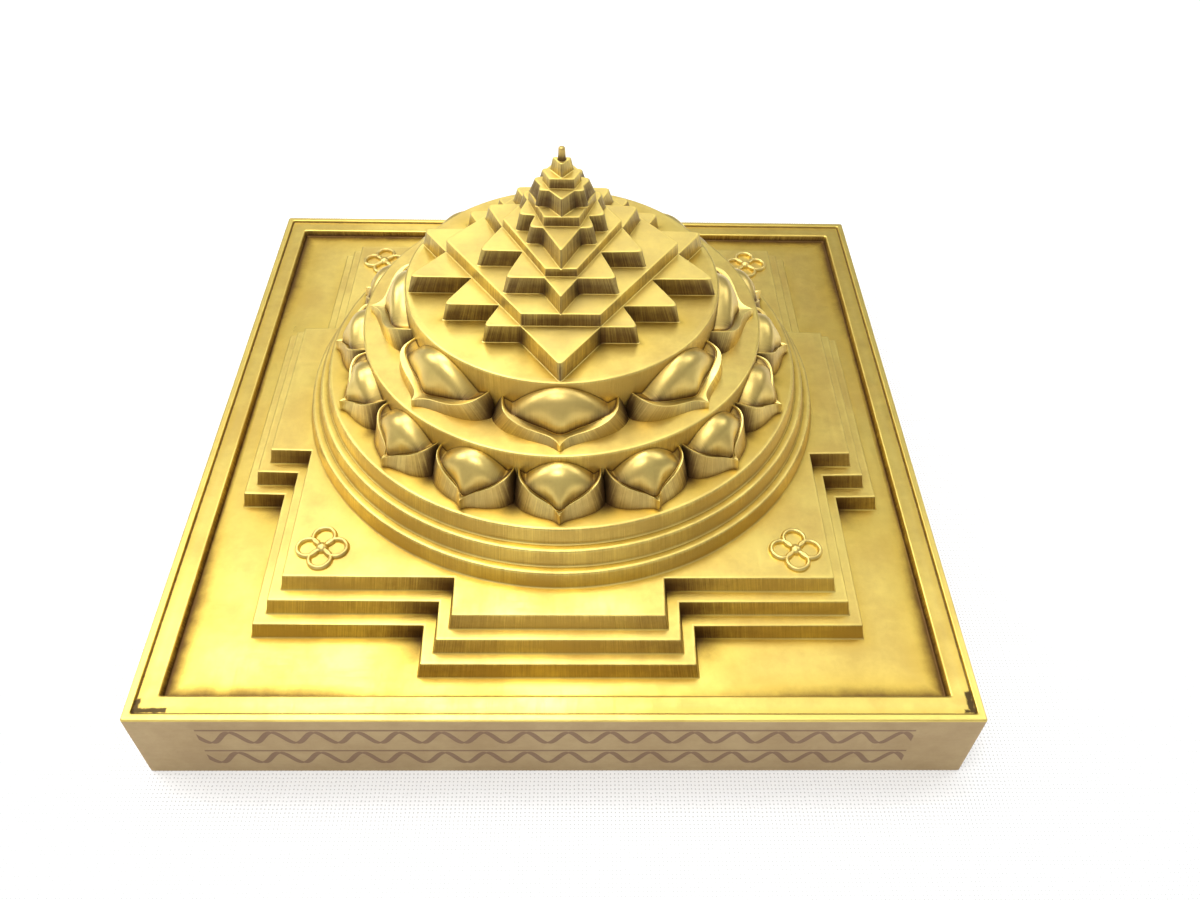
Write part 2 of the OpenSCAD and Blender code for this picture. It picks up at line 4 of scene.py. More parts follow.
import bpy
import mathutils
import numpy as np
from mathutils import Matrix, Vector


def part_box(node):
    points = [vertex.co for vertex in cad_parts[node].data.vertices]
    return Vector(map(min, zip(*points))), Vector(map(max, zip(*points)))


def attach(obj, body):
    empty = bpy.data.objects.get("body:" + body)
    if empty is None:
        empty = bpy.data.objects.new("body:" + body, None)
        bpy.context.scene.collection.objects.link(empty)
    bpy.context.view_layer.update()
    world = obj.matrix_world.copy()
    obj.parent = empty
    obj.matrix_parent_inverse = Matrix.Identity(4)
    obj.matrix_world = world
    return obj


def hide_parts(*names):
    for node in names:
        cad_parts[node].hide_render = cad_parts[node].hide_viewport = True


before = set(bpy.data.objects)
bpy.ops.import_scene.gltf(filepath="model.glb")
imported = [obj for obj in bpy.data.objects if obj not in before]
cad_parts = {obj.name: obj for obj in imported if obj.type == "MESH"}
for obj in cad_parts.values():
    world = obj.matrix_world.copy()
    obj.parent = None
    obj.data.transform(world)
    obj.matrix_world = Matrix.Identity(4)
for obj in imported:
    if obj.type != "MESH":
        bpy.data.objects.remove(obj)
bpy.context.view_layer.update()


# ----- Base plate
# A square block of cast brass. Its top is milled into a thin lip, a ledge and a sunk field,
# its sides are left matte, and a recess underneath takes the tie rod's washer and nut.

MM = 0.001


def levels(node):
    """Lowest and highest corner of a frame node, in millimetres."""
    low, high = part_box(node)
    return np.array(low) / MM, np.array(high) / MM


def unit(v):
    """Vectors scaled to length one; a vector of no length stays as it is."""
    return v / np.maximum(np.linalg.norm(v, axis=-1, keepdims=True), 1e-9)


def soften(corners, reach, steps=4, fill=(0.03, 0.5, 0.97), closed=True):
    """Polyline with rounded corners. Each corner becomes a quadratic curve that leaves one side
    `reach` before the corner and joins the next side `reach` after it; the straight stretch that
    follows gets points at the shares `fill` of its length."""
    reach = np.broadcast_to(reach, corners.shape[:-1])[..., None]
    start = corners + unit(np.roll(corners, 1, -2) - corners) * reach
    end = corners + unit(np.roll(corners, -1, -2) - corners) * reach
    t = np.linspace(0, 1, steps + 1)[:, None]
    s = np.array(fill, float)[:, None]
    bend = ((1 - t) ** 2 * start[..., None, :] + 2 * t * (1 - t) * corners[..., None, :]
            + t ** 2 * end[..., None, :])
    after = np.roll(start, -1, -2)[..., None, :]
    straight = (1 - s) * end[..., None, :] + s * after
    whole = np.concatenate([bend, straight], axis=-2)
    if closed:
        return whole.reshape(*corners.shape[:-2], -1, corners.shape[-1])
    inner = whole[..., 1:-1, :, :].reshape(*corners.shape[:-2], -1, corners.shape[-1])
    first, second = corners[..., :1, :], start[..., 1:2, :]
    lead = (1 - s) * first + s * second
    return np.concatenate([first, lead, inner, corners[..., -1:, :]], axis=-2)


def loops(corners, inset, radius, steps, fill, ease=1.0, hollow_r=0.06):
    """Closed plan outlines, one for each inset. The sides of the polygon move inwards by the
    inset, and each corner is rounded to its radius times its ease, over that radius times the
    tangent of half its turn. A corner that turns inwards moves by the inset alone and keeps
    the radius of the cutter."""
    u = unit(corners - np.roll(corners, 1, 0))
    w = unit(np.roll(corners, -1, 0) - corners)
    cosine = np.sum(u * w, -1)
    turn = np.arctan2(u[:, 0] * w[:, 1] - u[:, 1] * w[:, 0], cosine)
    left = np.stack([-u[:, 1] - w[:, 1], u[:, 0] + w[:, 0]], -1)
    shift = left / (1 + cosine)[:, None] * np.where(turn > 0, 1.0, np.cos(turn / 2))[:, None]
    moved = corners + shift * np.reshape(inset, (-1, 1, 1))
    rounding = np.where(turn > 0, np.reshape(radius, (-1, 1)) * ease, hollow_r)
    return soften(moved, rounding * np.tan(np.abs(turn) / 2), steps, fill)


def at_level(plan, z):
    """Plan outlines lifted to their levels, as one grid of points."""
    heights = np.broadcast_to(np.reshape(z, (-1, 1, 1)), plan.shape[:2] + (1,))
    return np.concatenate([plan, heights], -1)


def away_from(points, corners):
    """Distance of each plan point from the nearest side of a closed polygon."""
    side = np.roll(corners, -1, 0) - corners
    off = points[..., None, :] - corners
    share = np.clip(np.sum(off * side, -1) / np.sum(side * side, -1), 0, 1)
    return np.linalg.norm(off - share[..., None] * side, axis=-1).min(-1)


def skin(name, grid, masks, replaced, material, poles=(), tube=False, belt=True,
         capped=False):
    """Mesh over a grid of points in millimetres, rows by columns: a quad between each four
    neighbours. `belt` joins the last column to the first, `tube` the last row to the first.
    Poles close the first and last row to a point, and `capped` closes the two end columns.
    The UV map holds the length along the columns and the length along the rows, in metres."""
    sharp_from = math.radians(38)
    rows, cols = grid.shape[:2]
    index = np.arange(rows * cols).reshape(rows, cols)
    down = np.concatenate([index, index[:1]]) if tube else index
    across = np.concatenate([down, down[:, :1]], 1) if belt else down
    quads = np.stack([across[:-1, :-1], across[:-1, 1:], across[1:, 1:], across[1:, :-1]], -1)
    reach_u = np.linalg.norm(np.diff(np.concatenate([grid, grid[:, :1]], 1), axis=1), axis=-1)
    reach_v = np.linalg.norm(np.diff(np.concatenate([grid, grid[:1]]), axis=0), axis=-1)
    u = np.concatenate([[0], np.cumsum(np.median(reach_u, 0))])
    v = np.concatenate([[0], np.cumsum(np.median(reach_v, 1))])
    uv = np.stack(np.meshgrid(u, v), -1) * MM
    lap = np.stack([uv[:-1, :-1], uv[:-1, 1:], uv[1:, 1:], uv[1:, :-1]], -2)
    lap = lap[:quads.shape[0], :quads.shape[1]]
    points = [grid.reshape(-1, 3)]
    faces = quads.reshape(-1, 4).tolist()
    laps = [lap.reshape(-1, 2)]
    ring = np.concatenate([index, index[:, :1]], 1)
    for k, (row, pole) in enumerate(zip((0, -1), poles)):
        tip = np.full(cols, rows * cols + k)
        pair = (ring[row, 1:], ring[row, :-1]) if row == 0 else (ring[row, :-1], ring[row, 1:])
        faces += np.stack([*pair, tip], -1).tolist()
        laps.append(np.zeros((cols * 3, 2)))
        points.append(np.reshape(pole, (1, 3)))
    if capped:
        faces += [index[:, 0].tolist(), index[::-1, -1].tolist()]
        laps.append(np.zeros((rows * 2, 2)))
    mesh = bpy.data.meshes.new(name)
    mesh.from_pydata((np.concatenate(points) * MM).tolist(), [], faces)
    mesh.uv_layers.new(name="along").data.foreach_set("uv", np.concatenate(laps).ravel())
    for mask, values in masks.items():
        spread = np.broadcast_to(values, (rows, cols)).reshape(-1)
        full = np.concatenate([spread, np.zeros(len(mesh.vertices) - spread.size)])
        layer = mesh.attributes.new(mask, "FLOAT", "POINT")
        layer.data.foreach_set("value", full.astype(np.float32))
    mesh.polygons.foreach_set("use_smooth", np.ones(len(mesh.polygons), bool))
    mesh.set_sharp_from_angle(angle=sharp_from)
    mesh.materials.append(material)
    piece = bpy.data.objects.new(name, mesh)
    bpy.context.scene.collection.objects.link(piece)
    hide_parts(replaced)
    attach(piece, "root")
    return piece


def add(tree, kind, inputs=None, **settings):
    """One shader node with its options. An input is a number, a colour or a node's socket."""
    made = tree.nodes.new(kind)
    for key, value in settings.items():
        setattr(made, key, value)
    for key, value in (inputs or {}).items():
        if isinstance(value, bpy.types.NodeSocket):
            tree.links.new(value, made.inputs[key])
        else:
            made.inputs[key].default_value = value
    return made


def maths(tree, operation, a, b=0.0, c=0.0, clamp=False):
    """Output of one math node."""
    made = add(tree, "ShaderNodeMath", {0: a, 1: b, 2: c}, operation=operation, use_clamp=clamp)
    return made.outputs[0]


def step_up(tree, value, low, high):
    """Value brought smoothly from 0 at `low` to 1 at `high`."""
    return add(tree, "ShaderNodeMapRange", {"Value": value, "From Min": low, "From Max": high},
               interpolation_type="SMOOTHSTEP").outputs[0]


def blend(tree, share, a, b):
    """Colour a at share 0 and colour b at share 1."""
    return add(tree, "ShaderNodeMix", {0: share, 6: a, 7: b}, data_type="RGBA").outputs[2]


def effect(name, inputs, outputs):
    """Empty node group with number inputs and outputs."""
    tree = bpy.data.node_groups.new(name, "ShaderNodeTree")
    make = functools.partial(tree.interface.new_socket, socket_type="NodeSocketFloat")
    for key, value in inputs.items():
        make(key, in_out="INPUT").default_value = value
    for key in outputs:
        make(key, in_out="OUTPUT")
    return tree, tree.nodes.new("NodeGroupInput").outputs, tree.nodes.new("NodeGroupOutput").inputs


def noise(tree, size, detail=4.0, rough=0.55, stretch=(1, 1, 1), uv=False, turn=0.0, warp=0.0):
    """Noise with features of `size` metres, stretched along an axis, on the object or on its
    UV map."""
    if uv:
        spot = add(tree, "ShaderNodeUVMap", uv_map="along").outputs[0]
    else:
        spot = add(tree, "ShaderNodeTexCoord").outputs["Object"]
    scale = tuple(1 / (size * s) for s in stretch)
    placed = add(tree, "ShaderNodeMapping",
                 {"Vector": spot, "Scale": scale, "Rotation": (0, 0, turn)}).outputs[0]
    return add(tree, "ShaderNodeTexNoise", {"Vector": placed, "Scale": 1.0, "Detail": detail,
                                            "Roughness": rough, "Distortion": warp}).outputs[0]


# Brown tarnish where a cloth does not reach, and painted shade: a level, broken up by patches of
# noise.
tarnish_and_shade, t_in, t_out = effect("tarnish_and_shade", {"Level": 0.0, "Patch": 0.42}, ["Mask"])
t_noise = maths(tarnish_and_shade, "SUBTRACT", noise(tarnish_and_shade, 0.0035, 6.0, 0.68), 0.5)
t_level = maths(tarnish_and_shade, "MULTIPLY_ADD", t_noise, t_in["Patch"], t_in["Level"])
tarnish_and_shade.links.new(step_up(tarnish_and_shade, t_level, 0.2, 0.95), t_out["Mask"])

# Upright lines that the side of the cutter leaves on a wall, along the UV map.
mill_lines, m_in, m_out = effect("mill_lines", {"Wall": 0.0}, ["Lines"])
m_fine = noise(mill_lines, 0.00024, 3.0, 0.6, (1, 45, 1), uv=True)
m_broad = noise(mill_lines, 0.0012, 3.0, 0.6, (1, 30, 1), uv=True)
m_sum = maths(mill_lines, "MULTIPLY", m_fine, 0.67)
m_sum = maths(mill_lines, "MULTIPLY_ADD", m_broad, 0.33, m_sum)
m_line = maths(mill_lines, "MULTIPLY", maths(mill_lines, "SUBTRACT", m_sum, 0.5), 2.4)
mill_lines.links.new(maths(mill_lines, "MULTIPLY", m_line, m_in["Wall"]), m_out["Lines"])

# Faint swirls of the polishing wheel on the level faces, and the cloudy tone under them.
polish, p_in, p_out = effect("polish", {"Grain": 1.0}, ["Swirl", "Cloud"])
p_a = noise(polish, 0.0007, 3.0, 0.6, (1, 9, 1), turn=0.5, warp=0.8)
p_b = noise(polish, 0.0009, 3.0, 0.6, (9, 1, 1), turn=-0.3, warp=0.8)
p_swirl = maths(polish, "SUBTRACT", maths(polish, "MAXIMUM", p_a, p_b), 0.55)
polish.links.new(maths(polish, "MULTIPLY", p_swirl, p_in["Grain"]), p_out["Swirl"])
polish.links.new(step_up(polish, noise(polish, 0.013, 6.0, 0.62), 0.3, 0.7), p_out["Cloud"])


def mask_of(tree, name):
    """Number stored on the piece's points."""
    return add(tree, "ShaderNodeAttribute", attribute_name=name).outputs["Fac"]


def brass(name, bright, deep, amber, brown, smooth, rough, wall_stain, nook_stain, lines,
          pitted=0.0, cloudy=0.7):
    """Brass of one finish. Level faces take the bright tone, turning amber towards a nook, and
    walls the deep one. Tarnish browns the walls, most where two of them meet; where a piece's
    masks carry painted shade, it is browned the same way. The cutter's lines and the wheel's
    swirls stand in the bump. `smooth` and `rough` are the roughness of level faces and walls."""
    made = bpy.data.materials.new(name)
    made.use_nodes = True
    tree = made.node_tree
    tree.nodes.clear()
    sums = functools.partial(maths, tree)
    wall, nook, edge = (mask_of(tree, m) for m in ("wall", "nook", "edge"))
    line = add(tree, "ShaderNodeGroup", {"Wall": wall}, node_tree=mill_lines).outputs["Lines"]
    wheel = add(tree, "ShaderNodeGroup", node_tree=polish).outputs
    cloud, swirl = wheel["Cloud"], wheel["Swirl"]
    flat = sums("SUBTRACT", 1.0, wall)

    # Tarnish lies on walls, and on level faces deep in a nook; the crests of the cutter's lines
    # hold less of it and worn edges hardly any. Painted shade in the masks is browned along with
    # it.
    level = sums("MULTIPLY", sums("MULTIPLY_ADD", nook, nook_stain, wall_stain), wall)
    deep_nook = sums("MAXIMUM", sums("SUBTRACT", nook, 0.25), 0.0)
    level = sums("MULTIPLY_ADD", sums("MULTIPLY", flat, deep_nook), 1.3, level)
    level = sums("MULTIPLY_ADD", line, -0.3, level)
    dark = add(tree, "ShaderNodeGroup", {"Level": level}, node_tree=tarnish_and_shade).outputs["Mask"]
    stain_and_shade = sums("MULTIPLY", dark, sums("MULTIPLY_ADD", edge, -0.8, 1.0), clamp=True)

    # The tone goes deeper in clouds, on walls and between the lines, and is bright on edges.
    depth = sums("MULTIPLY_ADD", wall, 0.5, sums("MULTIPLY", line, -0.9))
    depth = sums("MULTIPLY_ADD", cloud, cloudy, depth)
    depth = sums("MULTIPLY_ADD", edge, -0.6, depth, clamp=True)
    colour = blend(tree, depth, bright, deep)
    warm = sums("MULTIPLY", flat, sums("MULTIPLY", nook, 1.1), clamp=True)
    colour = blend(tree, warm, colour, amber)
    colour = blend(tree, stain_and_shade, colour, brown)

    # The finish is rougher in swirls and clouds, on walls and under tarnish and painted shade.
    gloss = sums("MULTIPLY_ADD", swirl, 0.3, smooth)
    gloss = sums("MULTIPLY_ADD", cloud, 0.08, gloss)
    gloss = sums("MULTIPLY_ADD", wall, rough - smooth, gloss)
    gloss = sums("MULTIPLY_ADD", stain_and_shade, 0.15, gloss, clamp=True)
    height = sums("MULTIPLY_ADD", line, lines, sums("MULTIPLY", swirl, 0.5))

    # Polished pieces show rare casting pits, and the tool's chatter where their mask has it.
    if pitted:
        place = add(tree, "ShaderNodeTexCoord").outputs["Object"]
        cell = add(tree, "ShaderNodeTexVoronoi", {"Scale": 420.0, "Vector": place}, feature="F1")
        rare = step_up(tree, noise(tree, 0.006, 2.0), 0.64, 0.76)
        pit = sums("MULTIPLY", step_up(tree, cell.outputs["Distance"], 0.22, 0.1), rare)
        colour = blend(tree, sums("MULTIPLY", pit, pitted), colour, brown)
        height = sums("MULTIPLY_ADD", pit, -pitted, height)
        rough_cut = noise(tree, 0.0006, 3.0, 0.6, (1, 3, 1), uv=True)
        chatter = sums("MULTIPLY", rough_cut, mask_of(tree, "chatter"))
        height = sums("MULTIPLY_ADD", chatter, 0.5, height)
    bump = add(tree, "ShaderNodeBump", {"Height": height, "Strength": 0.45, "Distance": 0.00008})
    surface = add(tree, "ShaderNodeBsdfPrincipled",
                  {"Base Color": colour, "Roughness": gloss, "Normal": bump.outputs[0],
                   "Metallic": 1.0})
    tree.links.new(surface.outputs[0], add(tree, "ShaderNodeOutputMaterial").inputs["Surface"])
    return made


satin_brass = brass(
    "satin_brass", bright=(0.86, 0.675, 0.185, 1), deep=(0.59, 0.42, 0.115, 1),
    amber=(0.66, 0.445, 0.06, 1), brown=(0.13, 0.07, 0.024, 1), smooth=0.33, rough=0.40,
    wall_stain=0.2, nook_stain=0.8, lines=1.0, cloudy=0.95)

base_half = levels("base_plate")[1][0]
base_top = levels("base_plate")[1][2]
lip_half, ledge_half, field_half = 73.6, 69.8, 69.494
ledge_z, field_z = base_top - 0.5, base_top - 2.15
rod_low, rod_high = levels("tie_rod")
rod_axis = (rod_low[:2] + rod_high[:2]) / 2
recess_r, recess_z, hole_r = 6.0, 5.6, 2.05


def cross(half, gate, end):
    """Corners of a square with a gate on each side, counter-clockwise from the right gate."""
    side = np.array([[end, -gate], [end, gate], [half, gate], [half, half], [gate, half]])
    turn = np.array([[[1, 0], [0, 1]], [[0, 1], [-1, 0]], [[-1, 0], [0, -1]], [[0, -1], [1, 0]]])
    return np.einsum("kj,sji->ski", side, turn).reshape(-1, 2)


def polar_ring(ring, spots, axis):
    """Points of a ring that lie in the directions of the given plan points, seen from the axis."""
    angle = np.arctan2(*(ring - axis).T[::-1])
    away = np.linalg.norm(ring - axis, axis=-1)
    look = np.arctan2(*(spots - axis).T[::-1])
    order = np.argsort(angle)
    far = np.interp(look, angle[order], away[order], period=2 * np.pi)
    return axis + far[:, None] * np.stack([np.cos(look), np.sin(look)], -1)


def hollows(corners):
    """Corners of a closed polygon that turn inwards."""
    u = unit(corners - np.roll(corners, 1, 0))
    w = unit(np.roll(corners, -1, 0) - corners)
    return corners[(u[:, 0] * w[:, 1] - u[:, 1] * w[:, 0]) < -0.1]


def tread(own, ring, corners, z, spread, pocket, foot_nook, axis=np.zeros(2), dips=None):
    """Level face from a tier's own edge to the foot of the next piece, and a little under it.
    Gives the rows of points and how deep each lies in the nook: by its distance from that
    foot, and more widely by its distance from the dips, or else the foot's inner corners."""
    share = np.array([0.02, 0.2, 0.42, 0.6, 0.74, 0.85, 0.92, 0.97, 1.0])[:, None, None]
    tucked = 0.9
    inner = polar_ring(ring, own, axis)
    under = axis + (inner - axis) * tucked
    plan = np.concatenate([(1 - share) * own + share * inner, under[None]])
    nook = foot_nook * np.exp(-away_from(plan, corners) / spread)
    inward = hollows(corners) if dips is None else dips
    if pocket and len(inward):
        near = np.linalg.norm(plan[:, :, None] - inward, axis=-1).min(-1)
        nook = np.maximum(nook, np.exp(-near / pocket))
    return at_level(plan, np.full(len(plan), z)), nook


bhupura_names = ["bhupura_lower", "bhupura_middle", "bhupura_upper"]
bhupura_tops = [levels(n)[1][2] for n in bhupura_names]
bhupura_halves, gate_halves = [56.2, 53.35, 50.5], [24.7, 21.85, 19.0]
gate_reach, step_lean = 8.4, 0.649
bhupura_feet = [cross(h + step_lean, g + step_lean, h + gate_reach + step_lean)
                for h, g in zip(bhupura_halves, gate_halves)]
foot_fill = np.linspace(0.02, 0.98, 40)

base_corners = np.array([[1, -1], [1, 1], [-1, 1], [-1, -1]]) * base_half
base_profile = soften(
    np.array([[60, 0], [base_half, 0], [base_half, base_top], [lip_half, base_top],
              [lip_half - 0.1, ledge_z], [ledge_half, ledge_z], [field_half, field_z],
              [field_half - 0.8, field_z]]),
    np.array([0.0, 0.4, 0.45, 0.22, 0.2, 0.35, 0.3, 0.0]), closed=False)[1:]
base_x, base_z = base_profile.T
base_plan = loops(base_corners, base_half - base_x, np.full(len(base_x), 0.6), steps=6,
                  fill=np.linspace(0.004, 0.996, 150))
base_sides = at_level(base_plan, base_z)
base_round = unit(base_plan[0] - rod_axis)
base_rings = np.array([[hole_r, recess_z], [5.9, recess_z], [recess_r, recess_z - 0.1],
                       [recess_r, 0.15], [recess_r + 0.15, 0.0]])
base_under = at_level(rod_axis + base_round * base_rings[:, :1, None], base_rings[:, 1])
base_foot = loops(bhupura_feet[0], [0.0], [0.3], 3, foot_fill)[0]
field_rows, field_nook = tread(base_plan[-1], base_foot, bhupura_feet[0], field_z, spread=2.2,
                               pocket=8.0, foot_nook=0.5)
base_hole = at_level((rod_axis + base_round * hole_r)[None], field_z)
base_grid = np.concatenate([base_under, base_sides, field_rows, base_hole])


def ledge_shade(plan):
    """How deep a point of the field lies in the ledge's nook: it falls off with the distance
    from the ledge and is wiped cleaner towards the middle of each side."""
    wiped, full_from, reach = 0.25, 48, 3.8
    square = np.abs(plan[..., :2])
    along = wiped + (1 - wiped) * np.clip(square.min(-1) / full_from, 0, 1)
    return along * np.exp((square.max(-1) - field_half) / reach)


def base_rows(sides):
    """Mask of the base that is zero on its underside, its field and its hole."""
    return np.pad(sides.astype(float), (len(base_rings), len(field_rows) + 1))[:, None]


field_nook = np.maximum(field_nook, ledge_shade(field_rows))
to_field_foot = np.linalg.norm(base_profile - [field_half, field_z], axis=-1)
to_lip_foot = np.linalg.norm(base_profile - [lip_half - 0.1, ledge_z], axis=-1)
ledge_wall = (base_x < ledge_half) & (base_z < ledge_z - 0.2) & (base_z > field_z + 0.1)
side_nook = np.maximum(np.exp(-to_field_foot / 1.2), np.exp(-to_lip_foot / 0.4))
side_nook = np.where(base_z < field_z - 0.1, 0, side_nook)[:, None]
on_field = ((base_x < field_half + 0.1) & (base_z < field_z + 0.3))[:, None]
side_nook = np.where(on_field, np.maximum(side_nook, ledge_shade(base_plan)), side_nook)
under_nook = np.full(base_under.shape[:2], 0.6)
brow = np.exp(-np.abs(base_z - base_top) / 0.4)
base_masks = {
    "nook": np.concatenate([under_nook, side_nook, field_nook, field_nook[-1:]]),
    "wall": base_rows(ledge_wall | (to_lip_foot < 0.22)),
    "matte": base_rows((base_z < base_top - 0.3) & (base_x > lip_half + 0.2)),
    "edge": base_rows(brow * (base_x > lip_half - 0.1)),
}


def object_mm(tree):
    """Place on the object along x, y and z, in millimetres."""
    place = add(tree, "ShaderNodeTexCoord").outputs["Object"]
    parts = add(tree, "ShaderNodeSeparateXYZ", {"Vector": place}).outputs
    return [maths(tree, "DIVIDE", parts[k], MM) for k in "XYZ"]


# The front of the base carries an etched border in two rows: a thin rule with a running wave
# under it, drawn as a mask of the distance from those lines. The wave is broadest on its flanks.
border_half, border_levels = 63.0, ((15.3, 12.75), (8.0, 5.4))
etching, e_in, e_out = effect("etched_border", {"Pitch": 7.4, "Swing": 1.75, "Line": 0.24},
                              ["Mask"])
e_sum = functools.partial(maths, etching)
e_x, e_y, e_z = object_mm(etching)
e_phase = e_sum("DIVIDE", e_sum("MULTIPLY", e_x, 2 * math.pi), e_in["Pitch"])
e_swing = e_sum("MULTIPLY", e_sum("SINE", e_phase), e_in["Swing"])
e_slope = e_sum("ABSOLUTE", e_sum("COSINE", e_phase))
e_flank = e_sum("MULTIPLY_ADD", e_slope, 0.75, e_in["Line"])
e_rows = []
for rule_z, wave_z in border_levels:
    e_rule = e_sum("SUBTRACT", e_sum("ABSOLUTE", e_sum("SUBTRACT", e_z, rule_z)), e_in["Line"])
    e_off = e_sum("SUBTRACT", e_sum("SUBTRACT", e_z, wave_z), e_swing)
    e_wave = e_sum("SUBTRACT", e_sum("ABSOLUTE", e_off), e_flank)
    e_rows.append(step_up(etching, e_sum("MINIMUM", e_wave, e_rule), 0.12, -0.06))
e_ends = step_up(etching, e_sum("ABSOLUTE", e_x), border_half + 0.2, border_half)
e_front = step_up(etching, e_y, 0.3 - base_half, 0.1 - base_half)
e_mask = e_sum("MULTIPLY", e_sum("MULTIPLY", e_sum("MAXIMUM", *e_rows), e_ends), e_front)
etching.links.new(e_mask, e_out["Mask"])

# Its finish: satin on top, matte on the sides, with the etched border and, on the ledge in the
# two front corners, dark marks where a tool was set down to clear the corner. A mark is a
# rectangle, given by its middle and half its size along x, then along y.
tool_marks = ((-70.6, 2.9, -72.75, 0.45), (-73.05, 0.42, -71.7, 1.3),
              (72.85, 0.5, -71.0, 2.1), (72.3, 0.8, -72.8, 0.3))
etched_tone, tool_tone = (0.21, 0.115, 0.075, 1), (0.045, 0.028, 0.016, 1)
base_brass = satin_brass.copy()
base_brass.name = "base_brass"
base_tree = base_brass.node_tree
b_sum = functools.partial(maths, base_tree)
base_shader = next(n for n in base_tree.nodes if n.type == "BSDF_PRINCIPLED").inputs
old_colour, old_gloss = (base_shader[k].links[0].from_socket for k in ("Base Color", "Roughness"))
matte = mask_of(base_tree, "matte")
etched = add(base_tree, "ShaderNodeGroup", node_tree=etching).outputs["Mask"]
matte_cloud = step_up(base_tree, noise(base_tree, 0.009, 5.0, 0.65), 0.25, 0.75)
matte_tone = blend(base_tree, matte_cloud, (0.50, 0.37, 0.19, 1), (0.42, 0.295, 0.145, 1))
matte_tone = blend(base_tree, b_sum("MULTIPLY", etched, 0.75), matte_tone, etched_tone)
tool_x, tool_y, tool_z = object_mm(base_tree)
tool_gap = 9.0
for middle_x, half_x, middle_y, half_y in tool_marks:
    tool_far = [b_sum("SUBTRACT", b_sum("ABSOLUTE", b_sum("SUBTRACT", v, m)), h)
                for v, m, h in ((tool_x, middle_x, half_x), (tool_y, middle_y, half_y))]
    tool_gap = b_sum("MINIMUM", tool_gap, b_sum("MAXIMUM", *tool_far))
tool_wobble = b_sum("SUBTRACT", noise(base_tree, 0.0009, 3.0), 0.5)
tool_gap = b_sum("MULTIPLY_ADD", tool_wobble, 0.7, tool_gap)
tool_mark = b_sum("MULTIPLY", step_up(base_tree, tool_gap, 0.22, -0.18),
                  step_up(base_tree, tool_z, ledge_z - 0.3, ledge_z - 0.1))
top_tone = blend(base_tree, b_sum("MULTIPLY", tool_mark, 0.95), old_colour, tool_tone)
base_tree.links.new(blend(base_tree, matte, top_tone, matte_tone), base_shader["Base Color"])
base_tree.links.new(b_sum("MULTIPLY_ADD", matte, 0.22, old_gloss), base_shader["Roughness"])
base_tree.links.new(b_sum("MULTIPLY_ADD", matte, -0.35, 1.0), base_shader["Metallic"])

skin("base_block", base_grid, base_masks, "base_plate", base_brass, tube=True)


# ----- Bhupura, the square tiers
# Three plates milled to a square with a gate on each side. Their walls lean, each plate sits in
# a pocket of the one below, and the three lowest steps of the pyramid are their treads.

def tier(name, corners, foot_z, top_z, lean, radius, ring, ring_corners, material, spread,
         hollow_reach, foot_nook, axis=np.zeros(2), cove=0.2, edge=0.28,
         fill=np.linspace(0.01, 0.99, 24), inset=0.0, ease=1.0, hollow_r=0.06, crosswise_shade=0.0):
    """Plate with leaning walls over a polygon: a small cove at the foot, a straight wall, a
    rounded edge and a level tread to the next piece's foot. The polygon is the foot's outline.
    Walls that run straight across the figure, facing the front and the back, are darkened by
    painted shade, by the share `crosswise_shade`."""
    profile = soften(np.array([[inset - cove, foot_z], [inset + cove * 0.2, foot_z + cove],
                               [inset + lean, top_z], [inset + lean + 2 * edge, top_z]]),
                     np.array([0.0, cove * 0.8, edge, 0.0]), fill=(0.05, 0.5, 0.95), closed=False)
    share = np.clip((profile[:, 1] - foot_z) / (top_z - foot_z), 0, 1)
    rounding = radius[0] + (radius[1] - radius[0]) * share
    plan = loops(corners, profile[:, 0], rounding, steps=4, fill=fill, ease=ease,
                 hollow_r=hollow_r)
    face, face_nook = tread(plan[-1], ring, ring_corners, top_z, spread, hollow_reach * 0.4,
                            foot_nook, axis)
    below_top = (share < 0.98)[:, None]
    along = np.abs(unit(np.roll(plan, -1, 1) - np.roll(plan, 1, 1))[..., 0])
    # Painted shade: walls that run straight across the figure face the front and the back, and are
    # darkened as if they stood in shade.
    wall_nook = crosswise_shade * (along > 0.95) * below_top
    hollow = hollows(corners)
    if len(hollow):
        near = np.linalg.norm(plan[:, :, None] - hollow, axis=-1).min(-1)
        wall_nook = np.maximum(wall_nook, np.exp(-near / hollow_reach) * below_top)
    is_wall = (share < 0.97) & (profile[:, 1] > foot_z + cove)
    brink = np.exp(-np.linalg.norm(profile - [inset + lean, top_z], axis=-1) / 0.3)
    level = np.zeros(len(face))
    masks = {"nook": np.concatenate([wall_nook, face_nook]),
             "wall": np.concatenate([is_wall, level])[:, None],
             "edge": np.concatenate([brink, level])[:, None]}
    grid = np.concatenate([at_level(plan, profile[:, 1]), face])
    poles = ([*axis, foot_z], [*axis, top_z])
    return skin(name + "_plate", grid, masks, name, material, poles)


